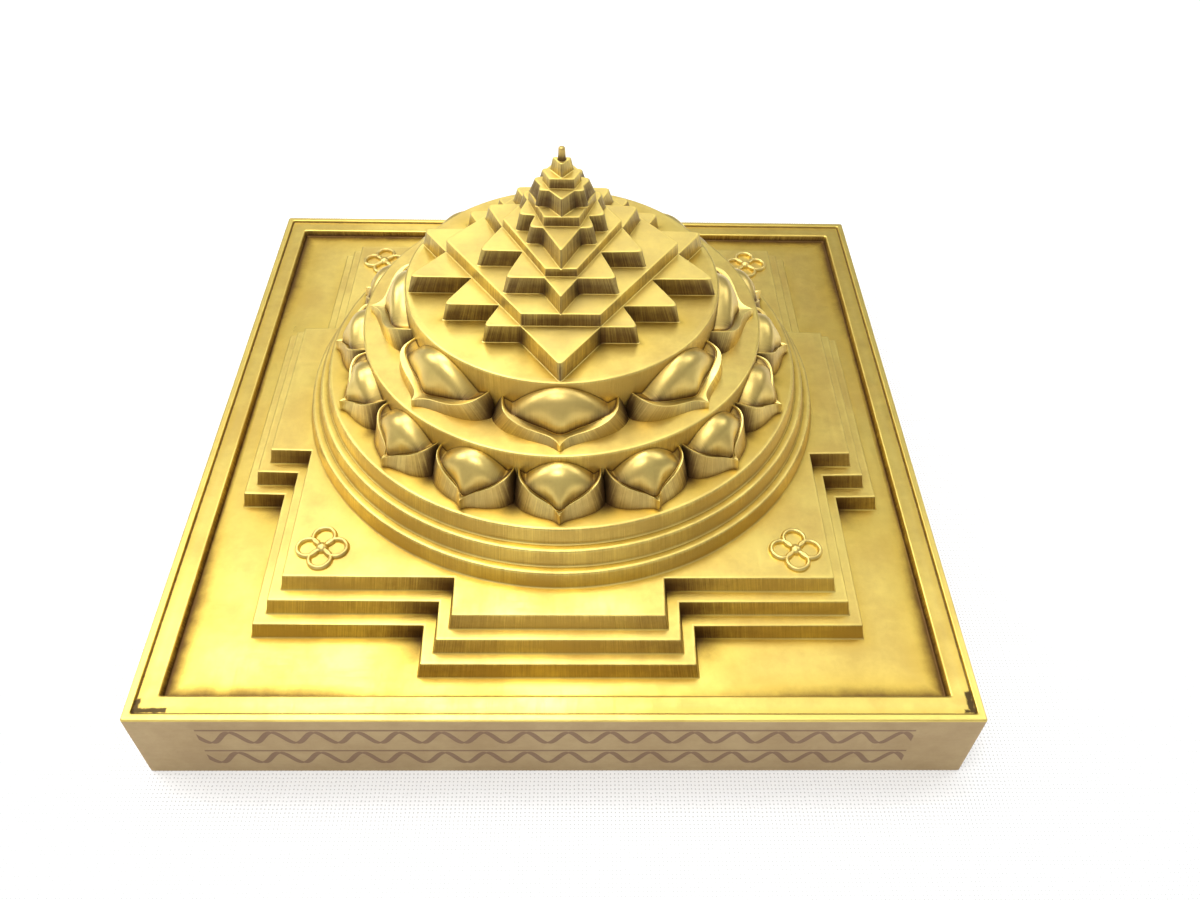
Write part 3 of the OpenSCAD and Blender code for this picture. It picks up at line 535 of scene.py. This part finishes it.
girdle_names = ["girdle_lower", "girdle_middle", "girdle_upper"]
girdle_tops = [levels(n)[1][2] for n in girdle_names]
girdle_radii = [52.4, 50.15, 47.9]
full_turn = np.linspace(0, 2 * np.pi, 720, endpoint=False)
circle = np.stack([np.cos(full_turn), np.sin(full_turn)], -1)
girdle_foot = circle * (girdle_radii[0] + step_lean)
next_feet = bhupura_feet[1:] + [girdle_foot[::6]]
next_rings = [loops(c, [0.0], [0.3], 3, foot_fill)[0] for c in bhupura_feet[1:]] + [girdle_foot]
bhupura_floors = [field_z] + bhupura_tops[:2]
tread_spreads, tread_nooks = [0.5, 0.5, 2.2], [0.12, 0.12, 0.42]
for name, corners, foot_z, top_z, ring, ring_corners, spread, foot_nook in zip(
        bhupura_names, bhupura_feet, bhupura_floors, bhupura_tops, next_rings, next_feet,
        tread_spreads, tread_nooks):
    tier(name, corners, foot_z, top_z, step_lean, (0.35, 0.3), ring, ring_corners, satin_brass,
         spread, hollow_reach=8.0, foot_nook=foot_nook)


# ----- Corner ornaments
# Bent brass wire of half-round section, four rings round a bead, pegged into the corners of the
# upper square tier. They keep the frame's solids and only take a polished finish.

polished_brass = brass(
    "polished_brass", bright=(0.86, 0.68, 0.215, 1), deep=(0.60, 0.43, 0.14, 1),
    amber=(0.70, 0.48, 0.11, 1), brown=(0.13, 0.075, 0.028, 1), smooth=0.33, rough=0.38,
    wall_stain=0.26, nook_stain=0.9, lines=0.8, pitted=0.35)


def finish(node, material):
    """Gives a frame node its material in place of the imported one."""
    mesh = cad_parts[node].data
    mesh.materials.clear()
    mesh.materials.append(material)


for name in ("front_left", "front_right", "rear_left", "rear_right"):
    finish("ornament_" + name, polished_brass)


# ----- Girdles, the round steps
# Three turned discs with leaning walls, one on the other, that lead from the square tiers to the
# lotus. The lathe and a later pass of the cutter leave upright lines on the walls.

def turned(name, profile, reach, node, ring, ring_corners, spread, foot_nook, pocket=0.0,
           dips=None):
    """Disc turned about the axis: a profile of radius and level carried round a circle. The
    rounded profile ends on the level top, which runs on to the ring of the next piece's foot."""
    line = soften(np.array(profile), np.array(reach), fill=(0.05, 0.5, 0.95), closed=False)
    foot_z, top_z = profile[0][1], profile[-1][1]
    walls = at_level(line[:, :1, None] * circle, line[:, 1])
    face, face_nook = tread(walls[-1, :, :2], ring, ring_corners, top_z, spread, pocket,
                            foot_nook, dips=dips)
    is_wall = (line[:, 1] < top_z - 0.1) & (line[:, 1] > foot_z + 0.2)
    brink = np.exp(-np.linalg.norm(line - np.array(profile[-2]), axis=-1) / 0.3)
    level = np.zeros(len(face))
    masks = {"nook": np.concatenate([np.zeros(walls.shape[:2]), face_nook]),
             "wall": np.concatenate([is_wall, level])[:, None],
             "edge": np.concatenate([brink, level])[:, None]}
    return skin(name, np.concatenate([walls, face]), masks, node, satin_brass,
                ([0, 0, foot_z], [0, 0, top_z]))


def step_profile(radius, foot_z, top_z, lean):
    """Radius and level along a leaning wall with a small cove at its foot and a rounded edge,
    and how far each of its corners is rounded."""
    return ([[radius + lean + 0.2, foot_z], [radius + lean - 0.04, foot_z + 0.2],
             [radius, top_z], [radius - 0.6, top_z]], [0.0, 0.16, 0.42, 0.0])


def ogee(side, crown, reach, half, spike, fade, square=1.0):
    """Plan of a petal's edge, from one side (-1) over the tip (0) to the other (1): a half
    ellipse, `reach` deep and `half` wide, whose front is drawn out by a spike that dies away.
    A `square` below one, the power of the cosine, fills the ellipse out at its shoulders."""
    sideways = half * np.sin(side * np.pi / 2)
    bow = np.maximum(np.cos(side * np.pi / 2), 0) ** square
    return crown + reach * bow + spike * np.exp(-np.abs(sideways) / fade), sideways


def wreath(count, drum_r, foot):
    """Closed plan outline of a ring of petal feet, trimmed where neighbours meet."""
    along, sideways = ogee(np.linspace(-1, 1, 41), *foot)
    sideways = np.clip(sideways, -along * np.tan(np.pi / count), along * np.tan(np.pi / count))
    turn = 2 * np.pi * np.arange(count)[:, None] / count - np.pi / 2
    x = along * np.cos(turn) - sideways * np.sin(turn)
    y = along * np.sin(turn) + sideways * np.cos(turn)
    ring = np.stack([x, y], -1).reshape(-1, 2)
    return np.maximum(1, drum_r / np.linalg.norm(ring, axis=-1, keepdims=True)) * ring


def between(count, radius):
    """Points midway between the petals of a ring, where the feet of two neighbours meet."""
    turn = 2 * np.pi * (np.arange(count) + 0.5) / count - np.pi / 2
    return radius * np.stack([np.cos(turn), np.sin(turn)], -1)


# A petal's foot: crown, reach, half width, spike and its fade.
outer_count, outer_r, outer_foot = 16, 39.7, (39.55, 6.05, 9.0, 1.3, 1.0)
inner_count, inner_r, inner_foot = 8, 30.6, (29.2, 7.1, 12.6, 2.3, 2.3)
outer_wreath = wreath(outer_count, outer_r, outer_foot)
inner_wreath = wreath(inner_count, inner_r, inner_foot)
outer_dips, inner_dips = between(outer_count, 42.7), between(inner_count, 32.9)
girdle_floors = [bhupura_tops[2]] + girdle_tops[:2]
girdle_rings = [circle * (r + step_lean) for r in girdle_radii[1:]]
girdle_nexts = [(r, r[::4], None) for r in girdle_rings]
girdle_nexts.append((outer_wreath, outer_wreath, outer_dips))
for name, radius, foot_z, top_z, (ring, ring_corners, dips) in zip(
        girdle_names, girdle_radii, girdle_floors, girdle_tops, girdle_nexts):
    turned(name + "_disc", *step_profile(radius, foot_z, top_z, step_lean), name, ring,
           ring_corners, spread=1.3, foot_nook=0.85, pocket=4.6, dips=dips)


# ----- Outer drum
# A turned cylinder whose wall shows between the outer petals. Its top is the step that the
# inner petals stand on, with a rounded edge above the petals' crowns.

def drum_profile(radius, foot_z, top_z, brim):
    """Radius and level along an upright wall with a rounded edge, and how far each of its
    corners is rounded."""
    return ([[radius, foot_z], [radius, foot_z + 0.3], [radius, top_z], [radius - brim, top_z]],
            [0.0, 0.1, 0.4, 0.0])


girdle_z, outer_z = girdle_tops[2], levels("outer_drum")[1][2]
turned("outer_drum_disc", *drum_profile(outer_r, girdle_z, outer_z, 2.2), "outer_drum",
       inner_wreath, inner_wreath, spread=1.8, foot_nook=0.85, pocket=6.0, dips=inner_dips)


# ----- Outer petals
# Sixteen petals chased in brass and pegged to the drum. A pointed wall stands on the girdle, its
# lip rises towards the drum, and a polished swell fills the cup behind it.

def petal(node, count, drum_r, foot_z, foot, lip, lip_z, rim, arch, columns):
    """Petal with its tip along the radius. Columns run from side to side. At each, the section
    goes from the foot's ogee up to the lip's, slopes down over the rim, whose inner line is the
    lip's half ellipse drawn out by a bell curve, crosses a narrow groove and climbs a quarter
    of a superellipse to the drum, where it ends on a parabola. The lip rises from the tip with
    a power of the distance sideways, and the rim narrows towards the sides. Higher up the swell
    the bell is lower and wider."""
    crown, reach, half, _, _, square = lip
    tip_z, lip_climb, lip_power = lip_z
    rim_w, rim_drop, rim_spike, rim_fade, groove_w, groove_d = rim
    arch_z, arch_fall, arch_power = arch
    gather, clear, wall_rows, swell_row, crown_row = 1.35, 0.03, (7, 13), 33, 41
    x = np.linspace(-1, 1, columns)
    side = np.sign(x) * np.abs(x) ** gather
    sine = np.sin(side * np.pi / 2)
    far = np.abs(sine)
    (fa, fs), (la, ls) = (ogee(side, *p) for p in (foot, lip))
    bow = np.maximum(np.cos(side * np.pi / 2), 0) ** square
    ins = (half - rim_w) * sine
    ia = crown + (reach - rim_w) * bow + rim_spike * np.exp(-(ins / rim_fade) ** 2)
    thin = far ** 6
    ia, ins = ia * (1 - thin) + (la - 0.25) * thin, ins * (1 - thin) + ls * 0.98 * thin
    lip_rise = tip_z + lip_climb * far ** lip_power
    rim_rise = lip_rise - 0.05 - rim_drop * (1 - thin)
    ba, bs, bed_rise = ia - groove_w, ins * (1 - groove_w / half), rim_rise - groove_d
    on_drum = lambda sideways: np.sqrt(drum_r ** 2 - sideways ** 2) + clear
    feet = np.stack([fa, fs, np.full(columns, foot_z)], -1)
    back = np.stack([on_drum(fs * 0.96), fs * 0.96, np.full(columns, foot_z)], -1)
    lips = np.stack([la, ls, lip_rise], -1)
    inlip = np.stack([ia, ins, rim_rise], -1)
    beds = np.stack([ba, bs, bed_rise], -1)
    top = np.stack([on_drum(bs), bs, np.maximum(arch_z - arch_fall * bs ** 2, bed_rise)], -1)

    angle = np.linspace(0, np.pi / 2, 25)[:, None]
    run, rise = np.cos(angle) ** (2 / arch_power), np.sin(angle) ** (2 / arch_power)
    fade = np.clip(angle / math.radians(45), 0, 1)
    fade = fade * fade * (3 - 2 * fade)
    soft = crown + (reach - rim_w - groove_w) * bow ** 1.2
    soft = soft + 0.3 * rim_spike * np.exp(-(bs / half / 0.5) ** 2)
    start = np.maximum(ba * (1 - fade) + soft * fade, top[:, 0])
    dome = np.stack([top[:, 0] + (start - top[:, 0]) * run, bs + 0 * angle,
                     bed_rise + (top[:, 2] - bed_rise) * rise], -1)
    section = np.stack([back, feet, lips, inlip, beds, dome[3]], 1)
    section = soften(section, np.array([0.0, 0.06, 0.1, 0.08, 0.08, 0.0]), 3,
                     (0.06, 0.35, 0.65, 0.94), closed=False)
    grid = np.concatenate([np.swapaxes(section, 0, 1), dome[4:]])
    edge_limit = np.maximum(grid[..., 0], 1) * np.tan(np.pi / count) - 0.02
    grid[..., 1] = np.clip(grid[..., 1], -edge_limit, edge_limit)
    grid[..., 0] = np.maximum(grid[..., 0], on_drum(grid[..., 1]))

    # Painted shade darkens the walls towards the valley where two petals meet, the line where the
    # swell meets the drum and the lower part of the swell. A thin dark line runs along the groove,
    # and the lip and the keel of the wall are worn bright.
    row = np.arange(len(grid))[:, None]
    lip_gap, bed_gap, top_gap = (np.linalg.norm(grid - p[None], axis=-1) for p in (lips, beds, top))
    is_wall = ((row >= wall_rows[0]) & (row <= wall_rows[1])) * np.ones(columns)
    # Painted shade: the walls darken towards the valley where two petals meet, on top of the shade
    # the gap casts.
    valley_shade = np.exp(-(edge_limit - np.abs(grid[..., 1])) / 1.6)
    # Painted shade on the swell: a dark line where it meets the drum, and a darkening of its lower
    # part in place of a dimmer reflection there. A thin dark line also runs along the groove.
    swell_shade = 0.3 * np.exp(-bed_gap / 0.22) * far ** 2
    swell_shade = swell_shade + 0.5 * np.exp(-top_gap / 0.18) * (row >= crown_row)
    swell_shade = np.clip(swell_shade + 0.85 * np.exp(-bed_gap / 3.0) * (row >= swell_row), 0, 1)
    keel = np.exp(-np.abs(grid[..., 1]) / 0.3) * is_wall
    masks = {"nook": np.where(is_wall > 0, valley_shade, swell_shade),
             "wall": np.maximum(is_wall, swell_shade),
             "edge": np.maximum(np.exp(-lip_gap / 0.3), keel),
             "chatter": np.exp(-bed_gap / 0.8) * far ** 2 * (1 - is_wall)}
    turn = 2 * np.pi * (int(node[-2:]) - 1) / count - np.pi / 2
    spun = np.stack([grid[..., 0] * np.cos(turn) - grid[..., 1] * np.sin(turn),
                     grid[..., 0] * np.sin(turn) + grid[..., 1] * np.cos(turn), grid[..., 2]], -1)
    return skin(node.replace("petal", "petal_leaf"), spun, masks, node, polished_brass,
                tube=True, belt=False, capped=True)


# The lip has the foot's measures and a squareness. Its level starts at the tip and climbs by a
# power. The rim has a width and drop, a bell and its fade, and a groove's width and depth. The
# arch has its level at the drum, its fall for each square millimetre and the swell's power.
outer_lip, outer_lip_z = (38.8, 5.35, 7.4, 2.7, 0.95, 0.6), (39.85, 4.05, 1.55)
outer_rim, outer_arch = (0.4, 0.1, 1.75, 1.7, 0.12, 0.2), (46.44, 0.0965, 2.5)
for i in range(outer_count):
    petal(f"outer_petal_{i + 1:02d}", outer_count, outer_r, girdle_z, outer_foot, outer_lip,
          outer_lip_z, outer_rim, outer_arch, columns=61)


# ----- Inner drum
# A turned cylinder that carries the eight inner petals. Its top is the plateau, on which the
# plates of the triangles stand.

def line_through(p, q):
    """Line held as a point and a direction."""
    return np.array(p, float), np.array(q, float) - np.array(p, float)


def level_at(y):
    """Line across the figure at one height on the plan."""
    return np.array([0.0, y]), np.array([1.0, 0.0])


def meet(a, b):
    """Crossing of two lines, from the cross products of their directions."""
    area = lambda v, w: v[0] * w[1] - v[1] * w[0]
    return a[0] + area(b[0] - a[0], b[1]) / area(a[1], b[1]) * a[1]


star_r, line_3, line_7, line_9 = 30.4, 10.6, -5.55, -19.8


def triangles(y1, y6):
    """Right sides and base lines of the nine triangles, for a trial of base lines 1 and 6."""
    half = lambda y: math.sqrt(star_r ** 2 - y ** 2)
    d3 = line_through((0, -star_r), (half(line_3), line_3))
    u7 = line_through((0, star_r), (half(line_7), line_7))
    u8 = line_through((0, y1), meet(d3, level_at(line_7)))
    d2 = line_through((0, line_9), meet(u7, level_at(line_3)))
    u9 = line_through((0, line_3), meet(d2, level_at(line_7)))
    y8 = meet(d3, u9)[1]
    d1 = line_through((0, y6), meet(u8, level_at(line_3)))
    y2 = meet(u7, d1)[1]
    u6 = line_through((0, y2), meet(d2, level_at(y6)))
    d4 = line_through((0, y8), meet(u9, level_at(y6)))
    y4, y5 = meet(d4, u8)[1], meet(d4, u6)[1]
    d5 = line_through((0, line_7), meet(d4, u6))
    sides = [None, d1, d2, d3, d4, d5, u6, u7, u8, u9]
    return sides, [0, y1, y2, line_3, y4, y5, y6, line_7, y8, line_9]


def misses(trial):
    """How far the two triple points are from closing."""
    s, y = triangles(*trial)
    return np.array([meet(s[6], s[1])[1] - y[4], meet(s[1], s[9])[1] - y[5]])


trial, nudge = np.array([22.0, -1.0]), 0.001
for _ in range(12):
    slope = np.stack([(misses(trial + d) - misses(trial)) / nudge for d in np.eye(2) * nudge], -1)
    trial = trial - np.linalg.solve(slope, misses(trial))
side, line_y = triangles(*trial)
line = [level_at(y) for y in line_y]
p1, p2 = meet(side[3], line[9]), meet(side[3], side[9])
p3, p4 = meet(side[3], line[7]), meet(side[3], side[7])
p5, p6, p7 = meet(side[7], line[3]), meet(side[7], side[1]), meet(side[7], line[1])
q1, q2, q3 = meet(side[2], line[8]), meet(side[2], line[7]), meet(side[2], side[8])
q4, q5 = meet(side[8], line[3]), meet(side[8], line[2])
r3, r4, r5 = meet(side[4], side[6]), meet(side[6], side[1]), meet(side[6], line[3])
c9, c8, c4 = meet(side[9], line[9]), meet(side[8], line[8]), meet(side[8], line[4])
c7 = (math.sqrt(star_r ** 2 - line_7 ** 2), line_7)
c3 = (math.sqrt(star_r ** 2 - line_3 ** 2), line_3)
c2, c1 = meet(side[2], line[2]), meet(side[1], line[1])
middle = lambda i: (0, line_y[i])
line_2, line_4, line_5, line_8 = line_y[2], line_y[4], line_y[5], line_y[8]
arm_y = -1.45

# Right halves of the nine outlines, from the front point to the rear one. The outer figures lie
# on the drawn lines, and the inner ones were cut by hand, so their arms are given as points.
tier_halves = [
    [(0, -star_r), p1, c9, p2, c8, p3, c7, p4, c3, p5, c2, p6, c1, p7, (0, star_r)],
    [p1, p4, p7],
    [middle(9), q1, (11.05, line_8), q2, (16.4, line_7), q3, (15.8, line_3), q4, (10.7, line_2),
     q5, middle(1)],
    [(q1[0], -13.46), q3, q5],
    [middle(8), (3.85, line_7), (7.2, line_7), (5.6, arm_y), (9.2, arm_y), r3, c4, r4, q4, r5,
     middle(2)],
    [(3.75, -5.15), (7.1, line_5), (3.6, 10.2)],
    [(0, -5.0), (2.74, arm_y), (5.3, arm_y), (4.9, 0.9), (7.0, 4.6), (4.1, 4.6), (5.2, line_4),
     (1.7, line_4), (0, 10.0)],
    [(2.75, -0.75), (4.35, 2.8), (1.3, 7.3)],
    [(0, -0.33), (3.07, 3.8)],
]


def whole(half):
    """Closed outline from its right half; points on the middle line are not doubled."""
    half = np.array(half, float)
    left = half[::-1] * [-1, 1]
    return np.concatenate([half, left[left[:, 0] < -0.001]])


tier_outlines = [whole(h) for h in tier_halves]
tier_fill = np.linspace(0.02, 0.98, 12)
star_ring = loops(tier_outlines[0], [0.0], [0.6], 3, tier_fill)[0]
plateau_z = levels("inner_drum")[1][2]
turned("inner_drum_disc", *drum_profile(inner_r, outer_z, plateau_z, 1.2), "inner_drum",
       star_ring, tier_outlines[0], spread=2.2, foot_nook=0.66)


# ----- Inner petals
# Eight broader petals of the same make, pegged to the inner drum. Their lips are flatter and
# wider than those of the outer ring.

inner_lip, inner_lip_z = (28.15, 7.6, 10.5, 2.8, 1.25, 0.47), (49.15, 2.75, 2.0)
inner_rim, inner_arch = (1.4, 0.15, 1.2, 2.4, 0.14, 0.2), (55.89, 0.067, 2.5)
for i in range(inner_count):
    petal(f"inner_petal_{i + 1:02d}", inner_count, inner_r, outer_z, inner_foot, inner_lip,
          inner_lip_z, inner_rim, inner_arch, columns=81)


# ----- Triangles
# Nine plates cut to the figures that the interlocking triangles make, stacked on the plateau.
# Their walls lean a little, their tips are rounded by the cutter, and tarnish with painted shade
# darkens the walls, most on those that face the front and back.

# The walls' tarnish on these plates is partly painted shade.
star_brass = brass(
    "star_brass", bright=(0.86, 0.675, 0.19, 1), deep=(0.54, 0.40, 0.145, 1),
    amber=(0.55, 0.38, 0.07, 1), brown=(0.12, 0.07, 0.03, 1), smooth=0.42, rough=0.40,
    wall_stain=0.50, nook_stain=0.42, lines=1.0, cloudy=0.6)
tier_names = ["star_14", "hexagon_1", "star_10_outer", "hexagon_2", "star_10_inner", "hexagon_3",
              "star_8", "hexagon_4", "trikona"]
foot_insets = [0.0, 0.33, 0.12, 0.64, 0.25, 0.60, 0.30, 0.62, 0.33]
top_insets = [0.33, 0.50, 0.62, 0.78, 0.80, 0.78, 0.95, 0.79, 0.57]
hexagon_tip = (0.3, 0.4)
tip_radii = [(0.5, 0.9), hexagon_tip, (0.7, 0.95), hexagon_tip, (0.8, 0.95), hexagon_tip,
             (0.6, 0.65), hexagon_tip, hexagon_tip]
point_eases = [1.0, 1.0, 0.2, 1.0, 0.3, 1.0, 0.4, 1.0, 1.0]
tier_tops = [levels(n)[1][2] for n in tier_names]
tier_floors = [plateau_z] + tier_tops[:-1]
pin_r = 0.72
bindu_foot = circle[::12] * pin_r + rod_axis
upper_feet = list(zip(tier_outlines[1:], foot_insets[1:]))
tier_rings = [loops(o, [f], [0.6], 3, tier_fill)[0] for o, f in upper_feet] + [bindu_foot]
tier_feet = [loops(o, [f], [0.02], 1, ())[0] for o, f in upper_feet] + [bindu_foot]
for name, corners, foot_z, top_z, low_in, high_in, tip_r, point_ease, ring, ring_corners in zip(
        tier_names, tier_outlines, tier_floors, tier_tops, foot_insets, top_insets, tip_radii,
        point_eases, tier_rings, tier_feet):
    on_middle = np.abs(corners[:, 0]) < 0.01
    tier(name, corners, foot_z, top_z, high_in - low_in, tip_r, ring, ring_corners, star_brass,
         spread=1.2, hollow_reach=1.8, foot_nook=0.28, axis=rod_axis, cove=0.1, edge=0.16,
         fill=np.linspace(0.01, 0.99, 10), inset=low_in, ease=np.where(on_middle, point_ease, 1.0),
         hollow_r=0.25, crosswise_shade=0.62)


# ----- Bindu
# The pin at the top, a small turned cone with a rounded end. It screws on to the tie rod's tail
# and holds the stack down.

crown_z, bindu_z, pin_top_r = tier_tops[-1], levels("bindu")[1][2], 0.6
pin_line = soften(np.array([[pin_r + 0.12, crown_z], [pin_r, crown_z + 0.15],
                            [pin_top_r, bindu_z], [0.1, bindu_z]]),
                  np.array([0.0, 0.1, 0.45, 0.0]), closed=False)
pin_grid = at_level(rod_axis + pin_line[:, :1, None] * circle[::15], pin_line[:, 1])
pin_nook = np.exp(-(pin_line[:, 1] - crown_z) / 1.2)[:, None]
skin("bindu_pin", pin_grid, {"nook": pin_nook, "wall": 0.9, "edge": 0.0}, "bindu",
     polished_brass, ([*rod_axis, crown_z], [*rod_axis, bindu_z]))


# ----- Tie rod, washer and nut
# A turned rod through the whole stack, drawn tight by a nut and washer in the recess under the
# base. They keep the frame's solids and take a dull finish.

dark_brass = brass(
    "dark_brass", bright=(0.46, 0.32, 0.10, 1), deep=(0.34, 0.22, 0.065, 1),
    amber=(0.34, 0.22, 0.065, 1), brown=(0.08, 0.045, 0.016, 1), smooth=0.38, rough=0.42,
    wall_stain=0.3, nook_stain=0.8, lines=0.6)
for name in ("tie_rod", "tie_washer", "tie_nut"):
    finish(name, dark_brass)


# ----- Cloth and light
# The object stands on a plain white cloth with a faint weave. Soft lights from above give the
# front treads and the swells of the petals their shine, those behind light the plateau and the
# field, those at the sides the slanted walls, and the room fills the rest.

scene = bpy.context.scene
cloth_mesh = bpy.data.meshes.new("cloth")
cloth_mesh.from_pydata([(-3, -3, 0), (3, -3, 0), (3, 3, 0), (-3, 3, 0)], [], [(0, 1, 2, 3)])
cloth = bpy.data.objects.new("cloth", cloth_mesh)
scene.collection.objects.link(cloth)
cloth_look = bpy.data.materials.new("cloth")
cloth_look.use_nodes = True
cloth_tree = cloth_look.node_tree
cloth_tree.nodes.clear()
c_sum = functools.partial(maths, cloth_tree)
cloth_spot = add(cloth_tree, "ShaderNodeTexCoord").outputs["Object"]
weave_look = {"Vector": cloth_spot, "Scale": 424.0, "Distortion": 1.6, "Detail": 2.0,
              "Detail Scale": 1.5}
weave = [add(cloth_tree, "ShaderNodeTexWave", weave_look, bands_direction=d).outputs["Fac"]
         for d in ("X", "Y")]
thread = c_sum("MAXIMUM", *weave)
cloth_bump = add(cloth_tree, "ShaderNodeBump",
                 {"Height": thread, "Strength": 0.25, "Distance": 0.0002}).outputs[0]
pore = step_up(cloth_tree, thread, 0.5, 0.12)
cloth_white = blend(cloth_tree, pore, (0.74, 0.74, 0.74, 1), (0.50, 0.50, 0.495, 1))
cloth_matte = add(cloth_tree, "ShaderNodeBsdfDiffuse", {"Color": cloth_white, "Normal": cloth_bump})
path = add(cloth_tree, "ShaderNodeLightPath").outputs
seen = c_sum("MAXIMUM", path["Is Camera Ray"], path["Is Glossy Ray"])
seen = c_sum("MAXIMUM", seen, path["Is Transmission Ray"])
cloth_glow = add(cloth_tree, "ShaderNodeEmission",
                 {"Color": cloth_white, "Strength": c_sum("MULTIPLY", seen, 0.40)})
cloth_both = add(cloth_tree, "ShaderNodeAddShader",
                 {0: cloth_matte.outputs[0], 1: cloth_glow.outputs[0]}).outputs[0]
cloth_tree.links.new(cloth_both, add(cloth_tree, "ShaderNodeOutputMaterial").inputs["Surface"])
cloth_mesh.materials.append(cloth_look)

# The room is brighter overhead, towards the front and to the left.
room_low, room_rise, room_front, room_left = 0.38, 0.26, 0.11, 0.07
room = bpy.data.worlds.new("room")
scene.world = room
room.use_nodes = True
room_tree = room.node_tree
room_tree.nodes.clear()
r_sum = functools.partial(maths, room_tree)
room_spot = add(room_tree, "ShaderNodeTexCoord").outputs["Generated"]
room_way = add(room_tree, "ShaderNodeSeparateXYZ", {"Vector": room_spot}).outputs
room_high = r_sum("POWER", r_sum("MAXIMUM", room_way["Z"], 0.0), 1.5)
room_level = r_sum("MULTIPLY_ADD", room_high, room_rise, room_low)
room_level = r_sum("MULTIPLY_ADD", room_way["Y"], -room_front, room_level)
room_level = r_sum("MULTIPLY_ADD", room_way["X"], -room_left, room_level)
room_light = add(room_tree, "ShaderNodeBackground",
                 {"Color": (1, 1, 1, 1), "Strength": room_level}).outputs[0]
room_tree.links.new(room_light, add(room_tree, "ShaderNodeOutputWorld").inputs["Surface"])


def lamp(name, place, width, depth, radiance, aim=(0, 0, 0.03)):
    """Rectangular soft light; its power is its radiance times pi times its area."""
    light = bpy.data.lights.new(name, "AREA")
    light.shape, light.size, light.size_y = "RECTANGLE", width, depth
    light.energy = radiance * math.pi * width * depth
    made = bpy.data.objects.new(name, light)
    scene.collection.objects.link(made)
    made.location = place
    made.rotation_mode = "QUATERNION"
    way = mathutils.Vector(aim) - mathutils.Vector(place)
    made.rotation_quaternion = way.to_track_quat("-Z", "Y")


lamp("window_light", (-0.15, 0.235, 0.70), 0.50, 0.31, 4.6, aim=(-0.08, -0.03, 0.02))
lamp("ceiling_light", (-0.12, -0.27, 0.76), 0.42, 0.36, 4.6)
lamp("back_light", (-0.03, 0.63, 0.66), 0.20, 0.24, 2.2, aim=(0, 0, 0.04))
lamp("rear_window", (-0.20, 1.02, 0.70), 0.26, 0.16, 2.1)
lamp("left_light", (-0.60, 0.14, 0.53), 0.36, 0.36, 4.2)
lamp("right_light", (0.57, 0.21, 0.53), 0.32, 0.32, 2.4)
lamp("right_window", (0.34, 0.26, 0.72), 0.12, 0.26, 3.0)


# ----- Camera
# The photograph's own view: from the front, looking down on the pyramid at about 47 degrees.
# Its place and turn were fitted to the corners of the base and the edges of the steps.

eye_place = (0.002965, -0.164132, 0.181224)
pitch, yaw, roll = (math.radians(a) for a in (46.625, -1.882, 1.719))
eye = bpy.data.cameras.new("eye")
eye.sensor_width, eye.lens = 36.0, 31.178
eye.clip_start, eye.clip_end = 0.005, 20.0
camera = bpy.data.objects.new("eye", eye)
scene.collection.objects.link(camera)
turned_by = (mathutils.Matrix.Rotation(yaw, 4, "Z")
             @ mathutils.Matrix.Rotation(math.pi / 2 - pitch, 4, "X")
             @ mathutils.Matrix.Rotation(roll, 4, "Z"))
camera.matrix_world = mathutils.Matrix.Translation(eye_place) @ turned_by
scene.camera = camera
scene.view_settings.view_transform = "Standard"

bpy.context.view_layer.update()
